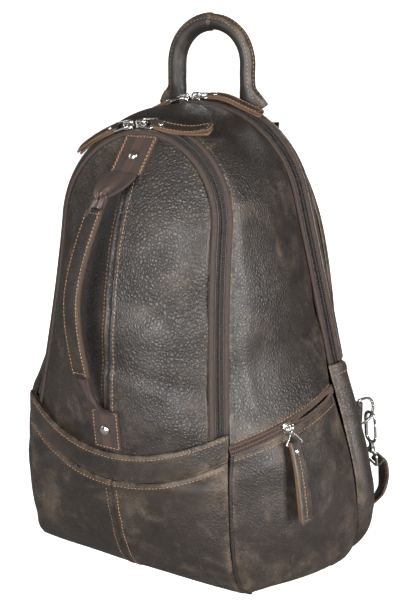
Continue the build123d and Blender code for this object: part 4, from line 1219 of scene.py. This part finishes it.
def front_grip():
    webbing_patch("grip_anchor_top", ("grip_anchors",), -2.5, 377, 346, 16.5, -5.0, (1, 2))
    webbing_patch("grip_anchor_low", (), -1.0, 158, 124, 13.5, 2.0, (1,))
    path = grip_at(np.linspace(0.145, 0.865, 60))
    s = np.linspace(0, 1, 60)
    half = GRIP_HALF - 0.9 * smoothstep(0.05, 0.0, s) - 0.9 * smoothstep(0.95, 1.0, s)
    obj, line = strip("front_grip_leather", path, GRIP_OUT, half, GRIP_THICK, (DARK, EDGE, RAW),
                      puff=0.9 * np.sin(pi * s) + 0.4, bevel=0.6, across=11)
    attach(obj, "front_grip", "smooth_leather", "front_grip")
    sewn = Batch()
    sew_strip(sewn, line, (-7.4, 7.4), INNER, 0.15, 3.0)
    side, _ = frame_normals(path, GRIP_OUT)
    for row in (2, -3):
        sew_across(sewn, line, row, side[row], 6.8, 7, 0.0, 2.8)
    sewn.build("front_grip_stitching", THREAD, "front_grip", "smooth_leather")
    ends = [(-3.5, front_y(347) - 2.6, 347.5), (-5.5, -97, 336), grip_at(0.1), grip_at(0.19)]
    webbing_tail("grip_webbing_top", ("grip_webbing",), ends, 0.6, 12.5)
    ends = [(-1.5, front_y(158) - 2.6, 157.5), (-2, -118, 168), grip_at(0.93), grip_at(0.83)]
    webbing_tail("grip_webbing_low", (), ends, -0.6, 8.0)
    rivets = Batch()
    for x, z in ((-1.5, 361.5), (-1.0, 141.0)):
        slope = atan2(front_y(z + 5) - front_y(z - 5), 10)
        normal = vec(0, -cos(slope), sin(slope))
        rivets.add(dome(*GRIP_RIVET), vec(x, front_y(z) - 3.4, z), vec(1, 0, 0), normal)
    rivets.build("grip_rivet_heads", RIVET, BAG, "nickel", "grip_rivets")


# ---- Shoulder straps and their hardware ----------------------------------------------
RING_BAR = vec(145, 74.5, 128)
RING_OUT = vec(cos(radians(72)), sin(radians(72)), 0)
RING_DEPTH, RING_RISE, RING_WIRE = 8.0, 11.6, 1.4
HOOK_DOWN = unit(vec(0.05, 0.08, -1))
HOOK_HALF, HOOK_WIRE, HOOK_TURN = 6.1, 1.3, -18
HOOK_ARC, HOOK_NOSE, HOOK_FOOT, NECK_END = 1.3, 3.0, 18.0, 30.0
EYE_BAR, EYE_HALF = 44.0, 10.5
BAR_SIDE = vec(-0.73, 0.68, 0)
RING_LOW = RING_RISE * cos(radians(45))
HOOK_TOP = RING_BAR + RING_OUT * (RING_DEPTH + RING_LOW) - vec(0, 0, RING_LOW)
BUCKLE, BUCKLE_LEAN = vec(98, 86, 133), radians(-14)
BUCKLE_HALF, BUCKLE_RISE = 15.5, 6.8


def on_hook(points, turn=0):
    """Points drawn with X down the hook and Y along its bar, hung in the D-ring."""
    side = turned(unit(BAR_SIDE - HOOK_DOWN * (BAR_SIDE @ HOOK_DOWN)), HOOK_DOWN, turn)
    return placed(points, HOOK_TOP, HOOK_DOWN, np.cross(HOOK_DOWN, side), side)


def half_circle(centre, start, end):
    """Half of the hook's outline, from start to end degrees."""
    turn = np.radians(np.linspace(start, end, 13))
    return [(centre + HOOK_HALF * cos(a), HOOK_HALF * sin(a), 0) for a in turn]


def neck(stations, radii, turn=0):
    """A turned post on the hook's axis."""
    return tube(on_hook([(x, 0, 0) for x in stations], turn), radii, 16)


def hardware(side, flip):
    """The D-ring, the snap hook with its gate, the eye under its swivel and the buckle."""
    bow = [(RING_DEPTH + RING_RISE * cos(a), RING_RISE * sin(a)) for a in np.linspace(-pi / 2, pi / 2, 17)]
    loop = [RING_BAR + RING_OUT * x + vec(0, 0, h) for x, h in [(0, RING_RISE), (0, -RING_RISE)] + bow]
    ring = [tube(round_corners(loop, 1.2, steps=3), RING_WIRE, 12, True)]
    line = ([(HOOK_ARC + HOOK_NOSE, -HOOK_HALF, 0)] + half_circle(HOOK_ARC, 270, 90)
            + half_circle(HOOK_FOOT, 90, -90))
    thick = 1.0 + 0.3 * np.sin(np.linspace(0, pi, len(line)))
    foot = HOOK_FOOT + HOOK_HALF
    hook = [tube(on_hook(line, HOOK_TURN), HOOK_WIRE * thick, 12),
            neck((foot - 0.8, foot + 1, NECK_END - 2, NECK_END), (3.1, 2.4, 2.4, 3.2), HOOK_TURN)]
    line = [(x, -HOOK_HALF, 0) for x in np.linspace(HOOK_FOOT - 0.5, HOOK_ARC + HOOK_NOSE + 0.5, 6)]
    gate = [tube(on_hook(line, HOOK_TURN), HOOK_WIRE * 0.9, 12)]
    eye = [(x, y, 0) for x, y in ((NECK_END + 4, -EYE_HALF), (EYE_BAR, -EYE_HALF),
                                  (EYE_BAR, EYE_HALF), (NECK_END + 4, EYE_HALF))]
    along = vec(cos(BUCKLE_LEAN), 0, -sin(BUCKLE_LEAN))
    high = vec(sin(BUCKLE_LEAN), 0, cos(BUCKLE_LEAN))
    wide, tall = along * BUCKLE_HALF, high * BUCKLE_RISE
    corners = [BUCKLE - wide - tall, BUCKLE + wide - tall, BUCKLE + wide + tall, BUCKLE - wide + tall]
    loops = [tube(round_corners(on_hook(eye), 2.5), 1.4, 12, True),
             neck((NECK_END + 0.4, NECK_END + 1, NECK_END + 3.6, NECK_END + 5), (2.7, 3.3, 3.3, 2.0)),
             tube(round_corners(corners, 2.4), 1.5, 12, True),
             tube([BUCKLE + along * x for x in (-15.2, -5, 5, 15.2)], 1.4, 12)]
    for name, shapes, node, body in (
            ("d_ring_wire", ring, "d_ring", "d_ring"), ("snap_hook_body", hook, "snap_hook", "snap_hook"),
            ("hook_gate_wire", gate, "hook_gate", "hook_gate"),
            ("strap_metal_loops", loops, "strap_metal", "shoulder_strap")):
        if flip < 0:
            shapes = [(verts * vec(-1, 1, 1), [face[::-1] for face in faces]) for verts, faces in shapes]
        metal_piece(f"{name}_{side}", shapes, f"{node}_{side}", body=f"{body}_{side}")


def ring_tab(side, flip):
    """Leather folded round the D-ring's bar and sewn to the back panel."""
    x, y, z = RING_BAR
    a = np.linspace(-0.62 * pi, 0.62 * pi, 11)
    turn = np.column_stack([np.cos(a), np.sin(a), 0 * a])
    under = lerp(vec(x - 27, 70.6, z), vec(x - 3, 70.6, z), np.linspace(0, 1, 8)[:, None])
    over = lerp(vec(x - 3, 75.0, z), vec(x - 27, 72.8, z), np.linspace(0, 1, 8)[:, None])
    path = np.concatenate([under, RING_BAR + 2.6 * turn, over])
    out = np.concatenate([0 * under - vec(0, 1, 0), turn, 0 * over + vec(0, 1, 0)])
    path, out = on_side(flip, path, out)
    obj, line = strip(f"ring_tab_leather_{side}", path, out, 9.6, 1.7, (TRIM, RAW), puff=0.2, across=7)
    attach(obj, BAG, "smooth_leather", *(("ring_tabs",) if flip > 0 else ()))
    sew_strip(threads, line, (-7.8, 7.8), slice(-8, -1), 0.1, 2.8)


def ribbon(stations, count, flip):
    """Points, outward directions and half widths of a ribbon through its stations, each
    with its place, the direction across it and its half width."""
    places, sides, halves = zip(*stations)
    at = np.linspace(0, 1, count)
    points = curve(places, at)
    points, ups = on_side(flip, points, np.cross(tangents(points), curve(sides, at)))
    return points, ups, curve(halves, at)


def strap_tail(side, flip):
    """The slack leather end, from the hook's eye round to the buckle."""
    eye = HOOK_TOP + HOOK_DOWN * (EYE_BAR + 1)
    away = unit(np.cross(BAR_SIDE, vec(0, 0, 1)))
    path, up, half = ribbon((
        (eye + away * 3.2, -BAR_SIDE, 9), (eye + away * 9 + vec(0, 0, 4), -BAR_SIDE, 9),
        (eye + away * 12 - vec(0, 0, 12), (0.75, -0.65, 0), 9),
        (eye + away * 9 - vec(0, 0, 30), (0.5, -0.85, 0), 9.5),
        (eye + vec(-10, 6, -44), (0.1, -1, 0.1), 10), ((124, 95, 68), (0.2, -1, 0), 10),
        ((107, 90, 98), (0.75, -0.6, 0), 11), ((101, 86, 122.5), (1, 0, 0), 12)), 120, flip)
    obj, line = strip(f"strap_tail_leather_{side}", path, up, half, 2.6, (SMOOTH, DARK, SMOOTH), puff=0.25)
    attach(obj, f"shoulder_strap_{side}", "smooth_leather", f"strap_tail_{side}")
    sewn = Batch()
    sew_strip(sewn, line, (-6.6, 6.6), slice(2, -2), 0.1, 3.2)
    sewn.build(f"strap_tail_stitching_{side}", THREAD, f"shoulder_strap_{side}", "smooth_leather")


PAD_LINE = ((95.5, 86, 143, 13), (88, 86, 172, 25), (79, 88, 225, 29), (66, 88, 290, 29), (53, 86, 338, 22),
            (43, 82, 367, 12))
PAD_THICK, PAD_PUFF, PAD_SEAM = 7.5, 1.2, 4.2
PAD_PRESSURE, PAD_FRAMES, PAD_GROWTH, PAD_MESH = 3.0, 20, 0.003, 0.0032


def inflate(obj):
    """Cloth simulation: the closed cover blows up a little against its own stiffness."""
    remesh = obj.modifiers.new("even mesh", "REMESH")
    remesh.mode, remesh.voxel_size = "VOXEL", PAD_MESH
    cloth = obj.modifiers.new("cloth", "CLOTH")
    settings = cloth.settings
    settings.use_pressure = True
    settings.uniform_pressure_force = PAD_PRESSURE
    settings.effector_weights.gravity = 0.0
    settings.tension_stiffness, settings.compression_stiffness = 40, 40
    settings.bending_stiffness = 2.0
    settings.shrink_min = -0.03
    settings.quality = 6
    cloth.point_cache.frame_start, cloth.point_cache.frame_end = 1, PAD_FRAMES
    for frame_number in range(1, PAD_FRAMES + 1):
        bpy.context.scene.frame_set(frame_number)
        bpy.context.view_layer.update()
    shaped = bpy.data.meshes.new_from_object(obj.evaluated_get(bpy.context.evaluated_depsgraph_get()))
    obj.modifiers.clear()
    before, after = (np.array([v.co for v in mesh.vertices]) for mesh in (obj.data, shaped))
    low, high = before.min(axis=0) - PAD_GROWTH, before.max(axis=0) + PAD_GROWTH
    shaped.vertices.foreach_set("co", np.clip(after, low, high).astype(np.float32).ravel())
    shaped.shade_smooth()
    obj.data = shaped
    bpy.context.scene.frame_set(1)


def strap_pad(side, flip):
    """The padded strap: a filled leather cover, bound round its edge."""
    body = f"shoulder_strap_{side}"
    path, up, half = ribbon([((x, y, z), (1, 0, 0), wide) for x, y, z, wide in PAD_LINE], 90, flip)
    obj, _ = strip(f"strap_pad_cover_{side}", path, up, half, PAD_THICK, (SMOOTH,), PAD_PUFF, 2.5, 15)
    swell = 0.0
    inflate(obj)
    set_wear(obj, np.zeros(len(obj.data.vertices)))
    swell = 0.5
    attach(obj, body, "smooth_leather", f"strap_pad_{side}")
    across, out = frame_normals(path, up)
    half = half[:, None]
    crown = PAD_THICK / 2 + PAD_PUFF * (1 - (1 - PAD_SEAM / half) ** 2) + swell
    sewn = Batch()
    for end, edge in (("in", -1), ("out", 1)):
        cord = sweep(f"strap_pad_binding_{side}_{end}", path + across * half * edge * 0.985, across, out,
                     rounded(1.9, 3.4, 1.5, 4), TRIM)
        attach(cord, body, "smooth_leather")
        seam = path + across * (half - PAD_SEAM) * edge + out * crown
        stitch(sewn, seam[3:-3], out[3:-3], 0.3, 3.6)
    sewn.build(f"strap_pad_stitching_{side}", THREAD, body, "smooth_leather")


def strap_yoke():
    """The leather patch over the upper ends of both straps."""
    f = np.linspace(-1, 1, 61)
    v = np.linspace(0, 1, 19)[:, None]
    x = 62 * f * (1 - 0.04 * v)
    lumps = 1.8 * (ridge(x - 40, 13) + ridge(x + 40, 13)) * smoothstep(0.1, 0.9, v)
    p = points_of(x, BACK_Y + 6.6, lerp(381, 355, v))
    surface = panel("strap_yoke_leather", p, TRIM, ("strap_yoke",), INSIDE, roll=2.0, thick=2.4,
                    lumps=0.4, lump_size=30, seed=91.0, extra=lumps)
    inner = slice(2, -2)
    sew(surface, (2, inner), (-3, inner), (inner, 2), (inner, -3))


def hidden_parts():
    """The lining, foam, board and core keep their CAD shape and get their own finish."""
    for name, material in (("main_lining", CLOTH), ("divider_panel", CLOTH), ("back_foam", FOAM),
                           ("base_board", BOARD), ("top_handle_core", FOAM)):
        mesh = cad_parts[name].data
        mesh.materials.clear()
        mesh.materials.append(material)


# ---- Stage, light and camera ---------------------------------------------------------
def stage():
    """A white floor that rises behind the object, bright to the camera and dim to light."""
    rise = [(1400 + 900 * sin(a), 900 - 900 * cos(a)) for a in np.linspace(0.1, pi / 2, 14)]
    steps = [(-2600, 0), (1400, 0)] + rise + [(2300, 3500)]
    verts = [(x, y, z) for y, z in steps for x in (-4000, 4000)]
    faces = [(2 * i, 2 * i + 1, 2 * i + 3, 2 * i + 2) for i in range(len(steps) - 1)]
    s = new_shader("floor_white")
    seen = s.node("LightPath").outputs["Is Camera Ray"]
    white = s.mixed(s.noise(3.0, 3.0), rgb(0.93, 0.93, 0.93), rgb(0.95, 0.95, 0.95))
    s.feed(s.main, {"Base Color": s.mixed(seen, rgb(0.32, 0.32, 0.32), white), "Roughness": 0.9,
                    "Emission Color": rgb(1, 1, 1), "Emission Strength": s.times(seen, 0.9)})
    make_mesh("floor", verts, faces, s.owner)


def aimed(name, data, place, target):
    """A light or camera at a place, turned to a target, both in metres."""
    obj = bpy.data.objects.new(name, data)
    obj.location = place
    obj.rotation_euler = (Vector(target) - Vector(place)).to_track_quat("-Z", "Y").to_euler()
    bpy.context.scene.collection.objects.link(obj)
    return obj


def lights():
    world = bpy.data.worlds.new("studio")
    bpy.context.scene.world = world
    s = Shader(world, "Background")
    height = s.node("SeparateXYZ", {0: s.coords["Generated"]}).outputs[2]
    seen = s.node("LightPath").outputs["Is Camera Ray"]
    glow = s.calc("MAXIMUM", seen, s.span(height, -0.1, 0.8, 0.16, 0.10))
    s.feed(s.main, {"Color": rgb(1, 1, 1), "Strength": glow})
    # name, place and height aimed at in metres, width, height and watts
    for name, place, target_z, wide, high, power in (
            ("key", (0.25, -1.8, 0.60), 0.22, 0.8, 1.1, 46),
            ("right", (1.75, -0.45, 0.66), 0.22, 0.55, 1.0, 40),
            ("behind", (-0.5, 1.9, 0.55), 0.2, 1.2, 1.0, 14),
            ("left", (-1.5, -0.9, 0.8), 0.2, 0.5, 1.2, 4)):
        data = bpy.data.lights.new(name, "AREA")
        data.shape, data.size, data.size_y = "RECTANGLE", wide, high
        data.energy = power
        aimed(name, data, place, (0, 0, target_z))
    bpy.context.scene.view_settings.view_transform = "Standard"


CAMERA_PLACE, CAMERA_TARGET = (0.5012, -0.7661, 0.4618), (0.0177, 0.0110, 0.2245)
SENSOR, LENS = 36, 63.4


def camera():
    """The photo's own view."""
    data = bpy.data.cameras.new("camera")
    data.sensor_width, data.lens = SENSOR, LENS
    bpy.context.scene.camera = aimed("camera", data, CAMERA_PLACE, CAMERA_TARGET)


def main():
    front_panel()
    gusset()
    for (side, flip), seed in zip(SIDES, (11.0, 23.0)):
        side_pocket(side, flip, seed)
    slip_pocket()
    rear_bands()
    rear_band_upper()
    back_panel()
    base()
    zips()
    zip_sets()
    top_handle()
    front_grip()
    for side, flip in SIDES:
        hardware(side, flip)
        ring_tab(side, flip)
        strap_tail(side, flip)
        strap_pad(side, flip)
    strap_yoke()
    hidden_parts()
    threads.build("stitching_bag", THREAD, BAG, "pull_leather")
    stage()
    lights()
    camera()


main()
